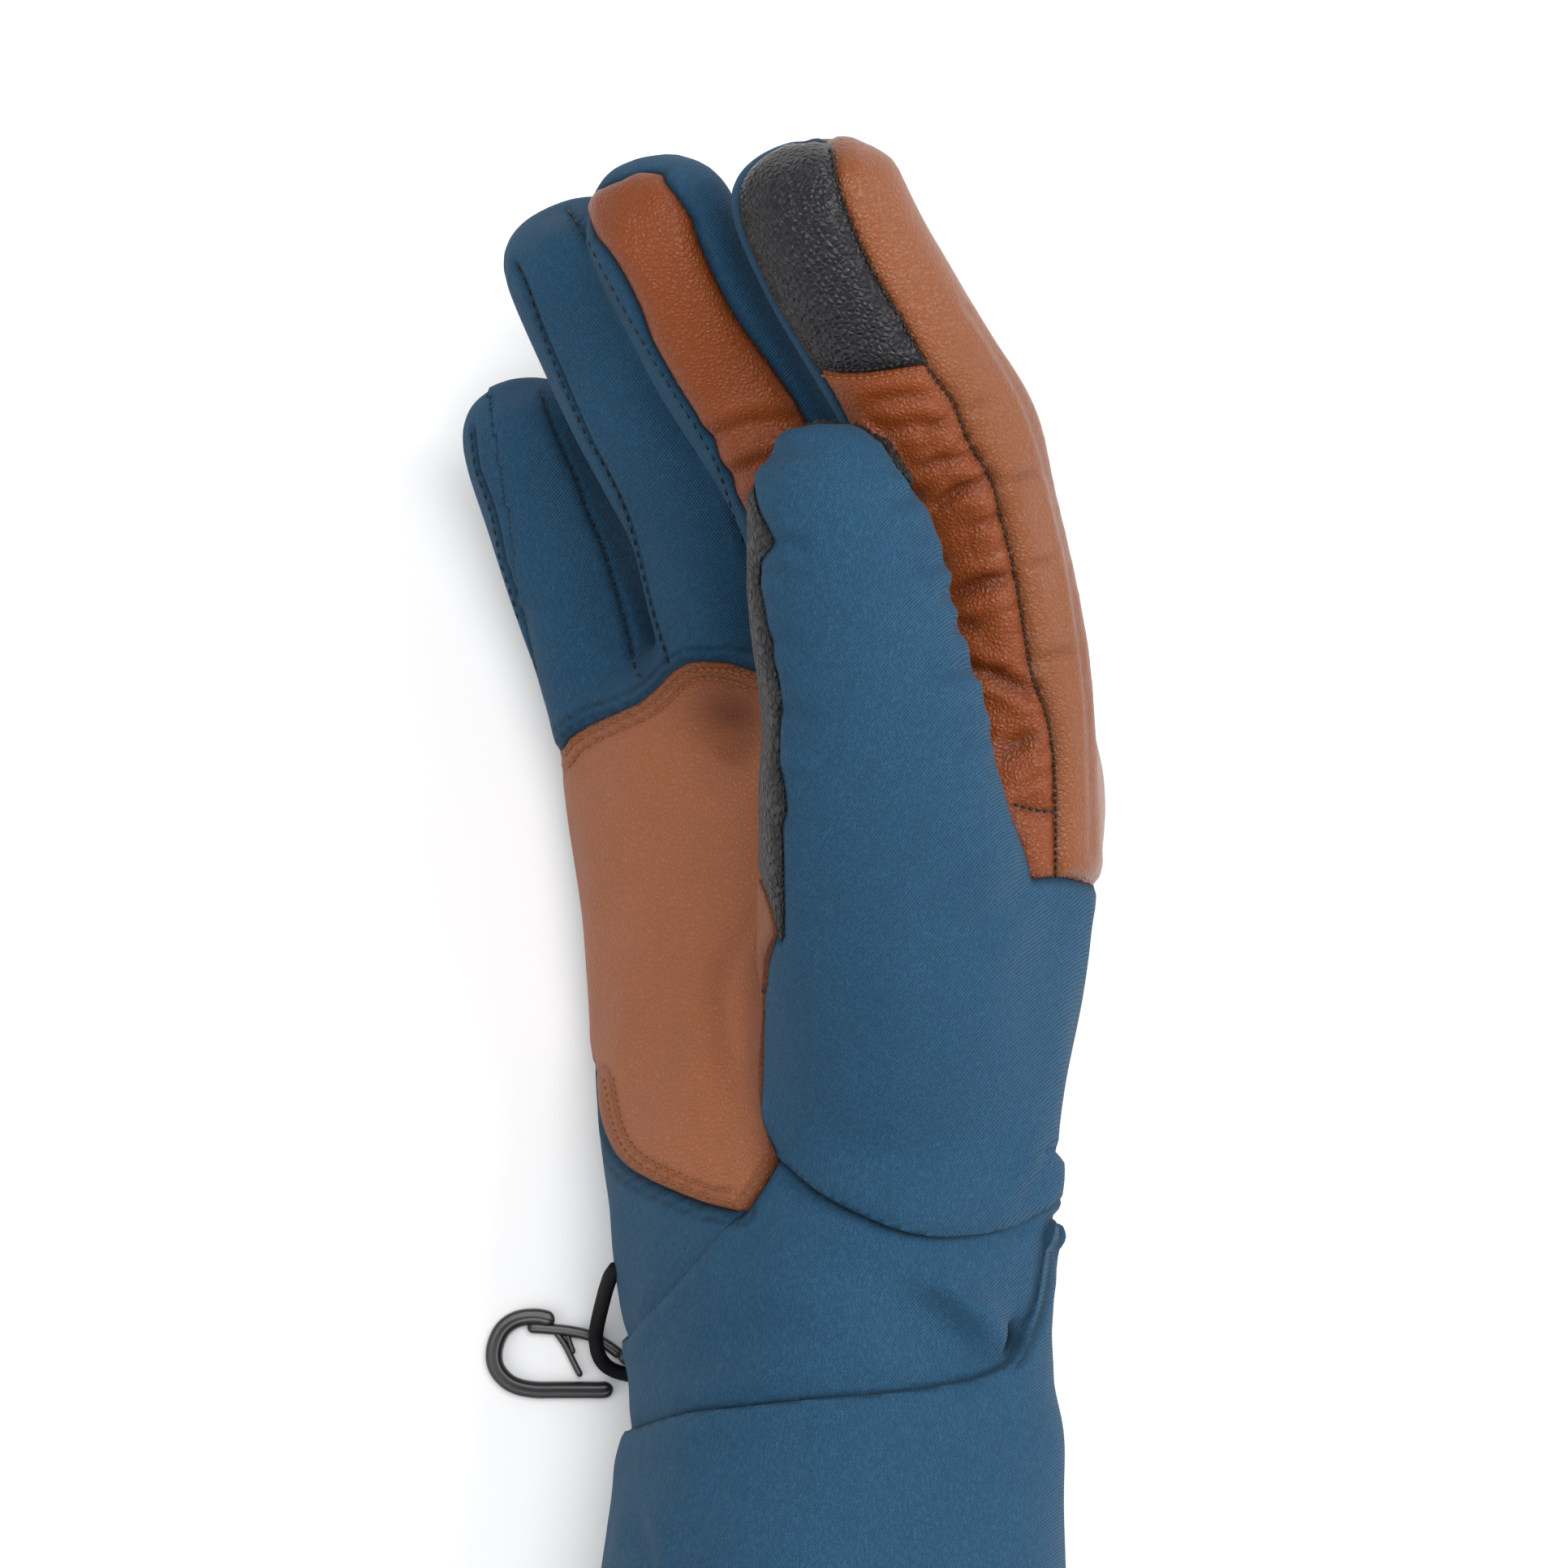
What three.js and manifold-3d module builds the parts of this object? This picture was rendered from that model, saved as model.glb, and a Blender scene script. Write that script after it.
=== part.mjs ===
// Insulated waterproof glove for a right hand, lying on its back and little-finger edge with the
// thumb uppermost. Millimetres, +Z up, fingers towards +Y. Every textile piece is a wall round one
// hollow, which opens at the cuff.
import * as THREE from 'three';
import { mergeVertices } from 'three/addons/utils/BufferGeometryUtils.js';
import Module from 'manifold-3d';

const wasm = await Module();
wasm.setup();

// Driving dimensions
const HAND_WALL = 3;            // softshell over insulation
const FINGER_WALL = 2.6;
const WRIST_STEP = 1.6;         // how far the wrist panels lie below the hand and the cuff
const SEAM_GAP = 0.3;           // clearance between two pieces that meet
const CUFF_END = -170;          // y of the mouth of the cuff
const MOUTH_REACH = 8;          // how far the hollow's cutter runs past the mouth
const TIP_PATCH_EDGE = 66.4;    // y of the lower edge of the black fingertip patch
const ROOT_SEAM = 18;           // y of the seam between index_palm and index_root_palm
const ROOT_LOW = 50;            // z down to which index_root_palm reaches
const PATCH_LOW = 14;           // z of the palm patch's edge, round the little-finger side
const WRIST_TOP = -38;          // y between which the wrist's tube is lofted
const WRIST_UNDER_CUFF = -107;
const CLIP_THICKNESS = 3;
const CORD_DIAMETER = 2.6;
const CENTRE = { x: -0.25, y: -32.8 };   // middle of the glove's box in the drawing frame

// Facets round a section
const BODY_SIDES = 24;
const LIMB_SIDES = 12;
const HOLLOW_SIDES = 10;
const CORD_SIDES = 8;

const FAR = 200;                // reach of the cutters past the glove
const rad = THREE.MathUtils.degToRad;

// Rows of a short table, with a name for each column
function table(columns, rows) {
  const names = columns.split(' ');
  return rows.map((row) => Object.fromEntries(names.map((name, i) => [name, row[i]])));
}

// Hand, wrist and cuff: one tube of oval sections across y. wide runs from the little-finger edge to
// the thumb edge, thick from palm to back, and turn is the lean of the palm from upright.
const BODY = table('y x z wide thick turn', [
  [23, 6, 37.9, 27.5, 8, 54],
  [20.5, 6, 36.2, 40.5, 15.5, 54],
  [16, 6.4, 34.2, 48, 21, 53],
  [9, 6.8, 32, 51, 24, 52.5],
  [-2, 8, 30.2, 51.6, 25.5, 52],
  [-20, 9.2, 28.4, 49.4, 26, 50.5],
  [-38, 8.8, 27.8, 47, 26.5, 49],
  [-53, 7, 28.6, 44.8, 26.5, 47],
  [-61, 7, 30.4, 43.8, 28, 43],
  [-69, 7.9, 31.4, 42.4, 31, 38],
  [-80, 8, 31.6, 39.2, 33, 33],
  [-91, 8.1, 31, 36.8, 33.2, 28],
  [-100, 8.6, 30.6, 35.6, 33.4, 22],
  [-107, 10, 30.8, 36.6, 34.4, 20],
  [-130, 8, 32.2, 39.6, 36.4, 20],
  [CUFF_END, 6.2, 35, 43.6, 39.4, 20],
]);

// Fingers and thumb, root to tip. across is the half width in plan, deep the half depth, and the last
// row is the very tip. folds press the surface in at a place along the rows, towards an angle that is
// measured from the upper side, positive to the right.
const INDEX = {
  rows: table('x y z across deep', [
    [37.3, -15.2, 57, 14.5, 14],
    [36.8, 0.8, 60, 14.5, 14],
    [36, 11.4, 61.5, 14.5, 14],
    [34.7, 22, 63.5, 14.6, 14],
    [32.9, 32.5, 67, 14.6, 14],
    [30.6, 43, 71.5, 14.6, 14],
    [27.5, 53.4, 77, 14.5, 13.9],
    [22.1, 63.6, 82.5, 14.3, 13.8],
    [16, 73.9, 87, 14.2, 13.7],
    [9.6, 84.2, 90.5, 14, 13.5],
    [5, 94.4, 93, 13.6, 13.3],
    [2.6, 104.1, 94, 13, 13],
  ]),
  folds: table('at toward press', [[4.1, -10, 1.5], [5.35, 0, 2.2]]),
  palm: { from: -93, to: 13 },
  side: { from: 13, to: 170 },
};
const MIDDLE = {
  rows: table('x y z across deep', [
    [16.7, -4.6, 44, 13, 13],
    [14.8, 11.5, 45, 13, 13],
    [12.3, 22.3, 46.5, 13, 13],
    [9.4, 32.9, 49, 13, 13],
    [5.9, 43.5, 53, 13, 13],
    [1.9, 52.7, 58, 13, 12.9],
    [-3.6, 61.8, 63, 13, 12.8],
    [-9.4, 70.9, 68, 12.9, 12.7],
    [-14.4, 79.9, 72.5, 12.8, 12.6],
    [-18.9, 88.9, 76.5, 12.6, 12.4],
    [-22.6, 100.5, 80, 12, 12],
  ]),
  folds: table('at toward press', [[5.6, -30, 1.6]]),
  palm: { from: -80, to: 34 },
};
const RING = {
  rows: table('x y z across deep', [
    [-0.1, -4.6, 28, 12.8, 13],
    [-4.6, 11.7, 28, 12.8, 13],
    [-7.9, 22.5, 29, 12.8, 12.9],
    [-10.6, 33.3, 32, 12.8, 12.8],
    [-13.5, 44, 36, 12.8, 12.8],
    [-18.8, 54.6, 42, 12.8, 12.6],
    [-24.8, 65.1, 48, 12.7, 12.5],
    [-29.5, 75.5, 54, 12.6, 12.4],
    [-33.4, 84.6, 59, 12.4, 12.2],
    [-37.4, 95.3, 64, 12, 12],
  ]),
  folds: table('at toward press', [[4.5, -20, 1.2]]),
  palm: { from: -57, to: 20 },
};
const LITTLE = {
  rows: table('x y z across deep', [
    [-22.7, -4.6, 16, 12, 12.5],
    [-27.2, 11.8, 13.5, 12, 12.3],
    [-31.2, 22.7, 13.5, 12, 12],
    [-35, 33.6, 15.5, 11.9, 11.9],
    [-38.6, 44.5, 19, 11.8, 11.8],
    [-42.2, 55.2, 24, 11.6, 11.5],
    [-44.7, 66.8, 31, 11, 11],
  ]),
  folds: table('at toward press', [[3.5, -20, 1]]),
  palm: { from: -57, to: 27 },
};
const THUMB = {
  rows: table('x y z across deep', [
    [21.7, -58.2, 46, 24, 22],
    [20.5, -44.5, 56, 23.5, 21],
    [19.1, -28.3, 67, 22.5, 18.5],
    [17.6, -15.7, 75, 21.3, 16.5],
    [16, -4.5, 82, 20, 15],
    [14.4, 8.6, 88, 18.4, 14.3],
    [12, 21.6, 92.5, 16.8, 13.8],
    [10, 34.5, 95.5, 15.8, 13.4],
    [8.3, 44.9, 97, 14, 12.8],
    [6.1, 58.6, 98, 12, 12],
  ]),
  folds: table('at toward press', [[7.6, -70, 1.4]]),
  grip: { from: -172, to: -68 },
  gripStart: 3,                 // row of the thumb where the grip begins
};

// Seams that are drawn in plan, as x and y pairs
const PALM_PATCH = [
  [-44, 5], [-34.6, 7.6], [-30.4, 9.6], [-25.2, 11.6], [-20.2, 15.4], [-17.6, 18.6],
  [-12.4, 20], [-5, 18.6], [4, 17], [7, -4], [3, -20], [-0.6, -27.2], [-1.6, -40], [-2.6, -55],
  [-4.4, -63.6], [-8.2, -70.2], [-14.4, -67.6], [-21, -64.2], [-27, -58.6], [-30.4, -49.2],
  [-44, -47],
];
const WRIST_EDGE = [
  [-FAR, -49.6], [-31.2, -49.6], [-27.4, -60], [-21, -65], [-14.4, -68.4], [-8, -70.9],
  [-4.6, -65], [-2.4, -60.8], [4.6, -66.4], [11.4, -70.4], [18, -74.2], [24.8, -75],
  [31.2, -74.2], [38, -72], [44.8, -68.8], [FAR, -66],
];
const WRAP_EDGE = [[0, -50], [-2.4, -61], [-8, -70.4], [-12.8, -77.2], [-17.5, -82.5], [-25, -90.4], [-FAR, -93]];
const CUFF_EDGE = [
  [-FAR, -106.4], [-24.2, -106.4], [-15.6, -104], [4.6, -101.8], [18, -100.6], [31.4, -98.2],
  [37.4, -95.4], [40.6, -90.6], [42.8, -83], [44.4, -74], [60, -40], [FAR, -30],
];
const INDEX_ROOT = [[20, ROOT_SEAM], [46.6, ROOT_SEAM], [46.2, 0], [45, -15.4], [38, -15.4], [20, -14]];

// Clip and cord, lying left of the cuff
const CLIP_SPINE = [
  [-29.6, -103], [-43, -103], [-46.6, -102], [-48.9, -99.2], [-49.2, -96], [-47.9, -92.8],
  [-45.4, -90.7], [-42, -90.6], [-38.6, -92.1], [-33, -93.8], [-27.8, -97],
];
const CLIP_WIDTH = 2.6;
const CLIP_TONGUE = [[-38.3, -92.6], [-37, -95.4], [-35.6, -98.4], [-34.4, -100.6]];
const TONGUE_WIDTH = 1.1;
const CORD_ROUTE = [
  [-28.1, -81, 26.8], [-29, -82.3, 25.4], [-29.5, -83.7, 23.2], [-30, -85.2, 20.2],
  [-30.4, -86.7, 16.8], [-30.8, -88.2, 13.4], [-31.2, -89.8, 10.2], [-31.6, -91.6, 7.6],
  [-31.9, -93.4, 5.8], [-31.8, -95.2, 5], [-31.4, -97, 4.3], [-30.4, -98.6, 3.1],
  [-28.8, -99.7, 2.2], [-26.8, -100.3, 1.9], [-24.6, -100.7, 2.3], [-22.6, -101, 3.5],
  [-20.8, -101.2, 5.3], [-19.4, -101.2, 7.5],
];

// Colours and finishes
function finish(color, roughness, metalness = 0) {
  return () => new THREE.MeshStandardMaterial({ color, roughness, metalness });
}
const SOFTSHELL = finish('#34587a', 0.85);
const TAN_LEATHER = finish('#9c5a37', 0.55);
const BLACK_PEBBLE = finish('#1b1b1d', 0.6);
const GREY_GRIP = finish('#4a4b4e', 0.75);
const BLACK_PLASTIC = finish('#141416', 0.4);
const BLACK_ELASTIC = finish('#18181a', 0.9);

// Closed solid from any closed three.js geometry
function solidOf(geometry) {
  const bare = geometry.index ? geometry : geometry.clone();
  bare.deleteAttribute('normal');
  bare.deleteAttribute('uv');
  const merged = mergeVertices(bare, 1e-4);
  const mesh = new wasm.Mesh({
    numProp: 3,
    vertProperties: Float32Array.from(merged.attributes.position.array),
    triVerts: Uint32Array.from(merged.index.array),
  });
  return new wasm.Manifold(mesh);
}

// Closed loft through rings that have equal numbers of points, each end closed by a fan
function loft(rings) {
  const count = rings[0].length;
  const points = rings.flat();
  const faces = [];
  for (let r = 0; r + 1 < rings.length; r += 1) {
    for (let i = 0; i < count; i += 1) {
      const a = r * count + i;
      const b = r * count + ((i + 1) % count);
      faces.push(a, b, b + count, a, b + count, a + count);
    }
  }
  const middle = (ring) => ring.reduce((sum, p) => sum.add(p), new THREE.Vector3()).divideScalar(count);
  const last = (rings.length - 1) * count;
  const startFan = points.push(middle(rings[0])) - 1;
  const endFan = points.push(middle(rings[rings.length - 1])) - 1;
  for (let i = 0; i < count; i += 1) {
    const next = (i + 1) % count;
    faces.push(startFan, next, i, endFan, last + i, last + next);
  }
  const geometry = new THREE.BufferGeometry().setFromPoints(points);
  geometry.setIndex(faces);
  const solid = solidOf(geometry);
  return solid.volume() < 0 ? solidOf(turnedInsideOut(geometry)) : solid;
}

function turnedInsideOut(geometry) {
  const corners = Array.from(geometry.index.array);
  for (let i = 0; i < corners.length; i += 3) {
    [corners[i], corners[i + 1]] = [corners[i + 1], corners[i]];
  }
  geometry.setIndex(corners);
  return geometry;
}

// Body sections, inset from the outer surface
function bodyRings(inset, from, to) {
  const squareness = 2 / 2.4;       // power of a superellipse, squarer than an oval
  const rows = BODY.filter((row) => row.y <= from && row.y >= to);
  const past = rows[rows.length - 1];
  const closed = inset > 0 && past.y === CUFF_END ? [...rows, { ...past, y: CUFF_END - MOUTH_REACH }] : rows;
  return closed.map((row) => {
    const lean = rad(row.turn);
    const edge = new THREE.Vector3(Math.sin(lean), 0, Math.cos(lean)).multiplyScalar(row.wide - inset);
    const back = new THREE.Vector3(Math.cos(lean), 0, -Math.sin(lean)).multiplyScalar(row.thick - inset);
    const centre = new THREE.Vector3(row.x, row.y, row.z);
    return Array.from({ length: BODY_SIDES }, (_, i) => {
      const angle = (2 * Math.PI * i) / BODY_SIDES;
      const along = Math.sign(Math.cos(angle)) * Math.abs(Math.cos(angle)) ** squareness;
      const over = Math.sign(Math.sin(angle)) * Math.abs(Math.sin(angle)) ** squareness;
      return centre.clone().addScaledVector(edge, along).addScaledVector(back, over);
    });
  });
}

// A place along a finger: its centre, directions and half sizes
function station(limb, place) {
  const last = limb.rows.length - 1;
  const path = limb.path ??= new THREE.CatmullRomCurve3(
    limb.rows.map((row) => new THREE.Vector3(row.x, row.y, row.z)), false, 'centripetal');
  const inside = THREE.MathUtils.clamp(place, 0, last);
  const lower = Math.min(Math.floor(inside), last - 1);
  const blend = inside - lower;
  const mix = (name) => THREE.MathUtils.lerp(limb.rows[lower][name], limb.rows[lower + 1][name], blend);
  const tangent = path.getTangent(inside / last);
  const side = new THREE.Vector3().crossVectors(tangent, new THREE.Vector3(0, 0, 1)).normalize();
  const up = new THREE.Vector3().crossVectors(side, tangent);
  const beyond = (place - inside) * path.getLength() / last;
  const centre = path.getPoint(inside / last).addScaledVector(tangent, beyond);
  return { centre, side, up, across: mix('across'), deep: mix('deep') };
}

// Where along a finger its rings stand, with the share of the full size that each has
function limbStops(limb, inset) {
  const last = limb.rows.length - 1;
  const foldReach = 0.3;
  const stops = limb.rows.slice(0, -1).map((_, i) => ({ place: i, share: 1 }));
  for (const fold of inset > 0 ? [] : limb.folds) {
    for (const offset of [-foldReach, 0, foldReach]) stops.push({ place: fold.at + offset, share: 1 });
  }
  for (const angle of [30, 58, 80]) {
    stops.push({ place: last - 1 + Math.sin(rad(angle)), share: Math.cos(rad(angle)) });
  }
  return stops.sort((a, b) => a.place - b.place);
}

// How deep the folds press in at one place and angle of a finger
function foldPress(limb, place, angle) {
  const foldWidth = 0.25;
  const foldSpread = 75;
  return limb.folds.reduce((sum, fold) => {
    const along = Math.exp(-(((place - fold.at) / foldWidth) ** 2));
    const away = Math.abs(angle - fold.toward) / foldSpread;
    return sum + fold.press * along * Math.exp(-away * away);
  }, 0);
}

// Finger as a closed solid, inset from its outer surface
function limbSolid(limb, inset, sides) {
  const last = limb.rows.length - 1;
  const tipLength = station(limb, last).centre.distanceTo(station(limb, last - 1).centre);
  const rings = limbStops(limb, inset).map(({ place, share }) => {
    const pulled = place > last - 1 ? place - (inset / tipLength) * (place - last + 1) : place;
    const at = station(limb, pulled);
    return Array.from({ length: sides }, (_, i) => {
      const degrees = (360 * i) / sides - 180;
      const press = foldPress(limb, place, degrees);
      const angle = rad(degrees);
      return at.centre.clone()
        .addScaledVector(at.side, Math.sin(angle) * (at.across - inset - press) * share)
        .addScaledVector(at.up, Math.cos(angle) * (at.deep - inset - press) * share);
    });
  });
  return loft(rings);
}

// Sector of a finger between two angles, its two flat sides moved out by grow
function sector(limb, { from, to }, grow, start = -1, end = limb.rows.length + 1) {
  const half = rad(to - from) / 2;
  const centreAngle = rad(from + to) / 2;
  const steps = 4;
  const reach = 1.55;             // cutter's radius as a share of the finger's
  const places = [start];
  for (let place = Math.ceil(start + 0.5); place < end; place += 1) places.push(place);
  places.push(end);
  const rings = places.map((place) => {
    const at = station(limb, place);
    const apex = at.centre.clone()
      .addScaledVector(at.side, -Math.sin(centreAngle) * grow / Math.sin(half))
      .addScaledVector(at.up, -Math.cos(centreAngle) * grow / Math.sin(half));
    const arc = Array.from({ length: steps + 1 }, (_, i) => {
      const angle = centreAngle - half + (2 * half * i) / steps;
      return apex.clone()
        .addScaledVector(at.side, Math.sin(angle) * at.across * reach)
        .addScaledVector(at.up, Math.cos(angle) * at.across * reach);
    });
    return [apex, ...arc];
  });
  return loft(rings);
}

// Upright prism over an outline in plan
function prism(outline, low, high) {
  const shape = new THREE.Shape(outline.map(([x, y]) => new THREE.Vector2(x, y)));
  const geometry = new THREE.ExtrudeGeometry(shape, { depth: high - low, bevelEnabled: false });
  return solidOf(geometry.translate(0, 0, low));
}

// A line in plan moved sideways, to its left when distance is positive
function shifted(line, distance, closed = false) {
  const last = line.length - 1;
  return line.map(([x, y], i) => {
    const before = line[i > 0 ? i - 1 : (closed ? last : 0)];
    const after = line[i < last ? i + 1 : (closed ? 0 : last)];
    const direction = new THREE.Vector2(after[0] - before[0], after[1] - before[1]).normalize();
    return [x - direction.y * distance, y + direction.x * distance];
  });
}

// Everything below a line that runs from left to right
function below(line, lift = 0) {
  return prism([...shifted(line, lift), [FAR, -FAR], [-FAR, -FAR]], -FAR, FAR);
}

// Strip of even width along a line in plan
function strip(line, width) {
  return [...shifted(line, width / 2), ...shifted(line, -width / 2).reverse()];
}

function largestPart(solid) {
  return solid.decompose().sort((a, b) => b.volume() - a.volume())[0];
}

const glove = new THREE.Group();
glove.position.set(-CENTRE.x, -CENTRE.y, 0);

function addPiece(name, solid, material) {
  const { vertProperties, triVerts } = solid.getMesh();
  const geometry = new THREE.BufferGeometry();
  geometry.setAttribute('position', new THREE.BufferAttribute(Float32Array.from(vertProperties), 3));
  geometry.setIndex(Array.from(triVerts));
  geometry.computeVertexNormals();
  const mesh = new THREE.Mesh(geometry, material());
  mesh.name = name;
  glove.add(mesh);
}

// Where the glove lies, its outer wall is pressed flat on the floor and its hollow a wall above it
function slab(height) {
  return prism([[-FAR, -FAR], [FAR, -FAR], [FAR, FAR], [-FAR, FAR]], -FAR, height);
}
const floor = slab(0);
const hollowFloor = slab(HAND_WALL);

// Back half of the hand: what lies behind the plane through both edges of the palm
function backHalf(grow) {
  const knuckles = BODY[0];
  const rows = [{ ...knuckles, y: knuckles.y + FAR / 2 }, ...BODY];
  return loft(rows.map((row) => {
    const lean = rad(row.turn);
    const edge = new THREE.Vector3(Math.sin(lean), 0, Math.cos(lean)).multiplyScalar(FAR / 2);
    const back = new THREE.Vector3(Math.cos(lean), 0, -Math.sin(lean));
    const middle = new THREE.Vector3(row.x, row.y, row.z).addScaledVector(back, -grow);
    const behind = middle.clone().addScaledVector(back, FAR / 2);
    return [middle.clone().sub(edge), middle.clone().add(edge), behind.clone().add(edge), behind.clone().sub(edge)];
  }));
}

// The whole outer form, the same form grown by the seam gap, and the hollow
const fingers = [INDEX, MIDDLE, RING, LITTLE];
const bodyOuter = loft(bodyRings(0, BODY[0].y, CUFF_END)).subtract(floor);
const bodyGrown = loft(bodyRings(-SEAM_GAP, BODY[0].y, CUFF_END));
const bodyHollow = loft(bodyRings(HAND_WALL, BODY[0].y, CUFF_END)).subtract(hollowFloor);
const thumbOuter = limbSolid(THUMB, 0, LIMB_SIDES).subtract(floor);
const thumbGrown = limbSolid(THUMB, -SEAM_GAP, LIMB_SIDES);
const thumbHollow = limbSolid(THUMB, FINGER_WALL, HOLLOW_SIDES).subtract(hollowFloor);
const fingerHollows = fingers.map((finger) => limbSolid(finger, FINGER_WALL, HOLLOW_SIDES).subtract(hollowFloor));
const hollow = fingerHollows.reduce((sum, part) => sum.add(part), bodyHollow.add(thumbHollow));

// Hand above the wrist seam: back, front and palm patch
const patch = prism(PALM_PATCH, PATCH_LOW, FAR);
const patchGrown = prism(shifted(PALM_PATCH, SEAM_GAP, true), PATCH_LOW - SEAM_GAP, FAR);
const root = prism(INDEX_ROOT, ROOT_LOW, FAR);
const rootGrown = prism(shifted(INDEX_ROOT, SEAM_GAP, true), ROOT_LOW - SEAM_GAP, FAR);
const wristAndCuff = below(WRIST_EDGE, SEAM_GAP);
const handWall = bodyOuter.subtract(hollow).subtract(wristAndCuff);
const handBlue = handWall.subtract(patchGrown).subtract(rootGrown);
addPiece('hand_back', largestPart(handBlue.intersect(backHalf(0))), SOFTSHELL);
addPiece('hand_front', largestPart(handBlue.subtract(backHalf(SEAM_GAP))), SOFTSHELL);
addPiece('palm_patch', largestPart(handWall.intersect(patch).subtract(thumbGrown)), TAN_LEATHER);
addPiece('index_root_palm', largestPart(handWall.intersect(root).subtract(thumbGrown)), TAN_LEATHER);

// Thumb, where it stands clear of the hand
const thumbWall = thumbOuter.subtract(hollow).subtract(bodyGrown);
const grip = sector(THUMB, THUMB.grip, 0, THUMB.gripStart);
const gripGrown = sector(THUMB, THUMB.grip, SEAM_GAP, THUMB.gripStart - SEAM_GAP / 10);
addPiece('thumb_shell', largestPart(thumbWall.subtract(gripGrown).subtract(wristAndCuff)), SOFTSHELL);
addPiece('thumb_grip', largestPart(thumbWall.intersect(grip)), GREY_GRIP);

// Fingers: each wall stands on the hand's rounded end and is split into its panels
const fingerWalls = [];
let neighbours = thumbGrown;
fingers.forEach((finger, i) => {
  const outer = limbSolid(finger, 0, LIMB_SIDES).subtract(floor);
  fingerWalls.push(outer.subtract(fingerHollows[i]).subtract(bodyGrown).subtract(neighbours));
  neighbours = neighbours.add(limbSolid(finger, -SEAM_GAP, LIMB_SIDES));
});
const [indexWall, middleWall, ringWall, littleWall] = fingerWalls;

function palmPanel(wall, finger) {
  return largestPart(wall.intersect(sector(finger, finger.palm, 0)));
}
function outsidePalm(wall, finger) {
  return wall.subtract(sector(finger, finger.palm, SEAM_GAP));
}

const beyondPatchEdge = prism([[-FAR, TIP_PATCH_EDGE], [FAR, TIP_PATCH_EDGE], [FAR, FAR], [-FAR, FAR]], -FAR, FAR);
const beforePatchEdge = prism(
  [[-FAR, -FAR], [FAR, -FAR], [FAR, TIP_PATCH_EDGE - SEAM_GAP], [-FAR, TIP_PATCH_EDGE - SEAM_GAP]], -FAR, FAR);
const indexPalm = palmPanel(indexWall, INDEX);
addPiece('index_tip_patch', largestPart(indexPalm.intersect(beyondPatchEdge)), BLACK_PEBBLE);
addPiece('index_palm', largestPart(indexPalm.intersect(beforePatchEdge)), TAN_LEATHER);
const indexRest = outsidePalm(indexWall, INDEX);
addPiece('index_side', largestPart(indexRest.intersect(sector(INDEX, INDEX.side, 0))), TAN_LEATHER);
addPiece('index_fourchette', largestPart(indexRest.subtract(sector(INDEX, INDEX.side, SEAM_GAP))), SOFTSHELL);
addPiece('middle_palm', palmPanel(middleWall, MIDDLE), TAN_LEATHER);
addPiece('middle_shell', largestPart(outsidePalm(middleWall, MIDDLE)), SOFTSHELL);
addPiece('ring_palm', palmPanel(ringWall, RING), SOFTSHELL);
addPiece('ring_shell', largestPart(outsidePalm(ringWall, RING)), SOFTSHELL);
addPiece('little_palm', palmPanel(littleWall, LITTLE), SOFTSHELL);
addPiece('little_shell', largestPart(outsidePalm(littleWall, LITTLE)), SOFTSHELL);

// Wrist: two panels that meet on the slanting edge, a step below the hand and the cuff
const wristOuter = loft(bodyRings(WRIST_STEP, WRIST_TOP, WRIST_UNDER_CUFF)).subtract(floor);
const wristHollow = loft(bodyRings(HAND_WALL + WRIST_STEP, WRIST_TOP, WRIST_UNDER_CUFF)).subtract(hollowFloor);
const wristWall = wristOuter.subtract(wristHollow).subtract(thumbHollow)
  .intersect(below(WRIST_EDGE)).subtract(below(CUFF_EDGE, SEAM_GAP));
const cuffWall = bodyOuter.subtract(bodyHollow).intersect(below(CUFF_EDGE));
const leftOfWrap = (lift) => prism([[-FAR, 0], [0, 0], ...shifted(WRAP_EDGE, lift)], -FAR, FAR);
addPiece('wrist_palm', largestPart(wristWall.intersect(leftOfWrap(0))), SOFTSHELL);
addPiece('wrist_wrap', largestPart(wristWall.subtract(leftOfWrap(SEAM_GAP))), SOFTSHELL);
addPiece('cuff', largestPart(cuffWall), SOFTSHELL);

// Clip: an open hook with a springy tongue, moulded in one
const clipFrame = prism(strip(CLIP_SPINE, CLIP_WIDTH), 0, CLIP_THICKNESS);
const tongueLow = 0.6;
const tongue = prism(strip(CLIP_TONGUE, TONGUE_WIDTH), tongueLow, CLIP_THICKNESS - tongueLow);
addPiece('clip', clipFrame.add(tongue), BLACK_PLASTIC);

// Elastic cord from the wrist seam, over the clip's bar and back under the cuff
const cordPath = new THREE.CatmullRomCurve3(CORD_ROUTE.map(([x, y, z]) => new THREE.Vector3(x, y, z)));
const cordSection = new THREE.Shape(Array.from({ length: CORD_SIDES }, (_, i) => {
  const angle = (2 * Math.PI * (i + 0.5)) / CORD_SIDES;
  return new THREE.Vector2(Math.cos(angle), Math.sin(angle)).multiplyScalar(CORD_DIAMETER / 2);
}));
const cordSteps = CORD_ROUTE.length - 1;
const cordTube = new THREE.ExtrudeGeometry(cordSection, { steps: cordSteps, extrudePath: cordPath });
addPiece('clip_cord', solidOf(cordTube), BLACK_ELASTIC);

export default glove;
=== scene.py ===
"""Insulated waterproof glove for a right hand, lying on its back and little-finger edge."""

import bmesh
import bpy
import numpy as np
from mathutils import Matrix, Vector
from mathutils.bvhtree import BVHTree
from mathutils.kdtree import KDTree


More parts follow.
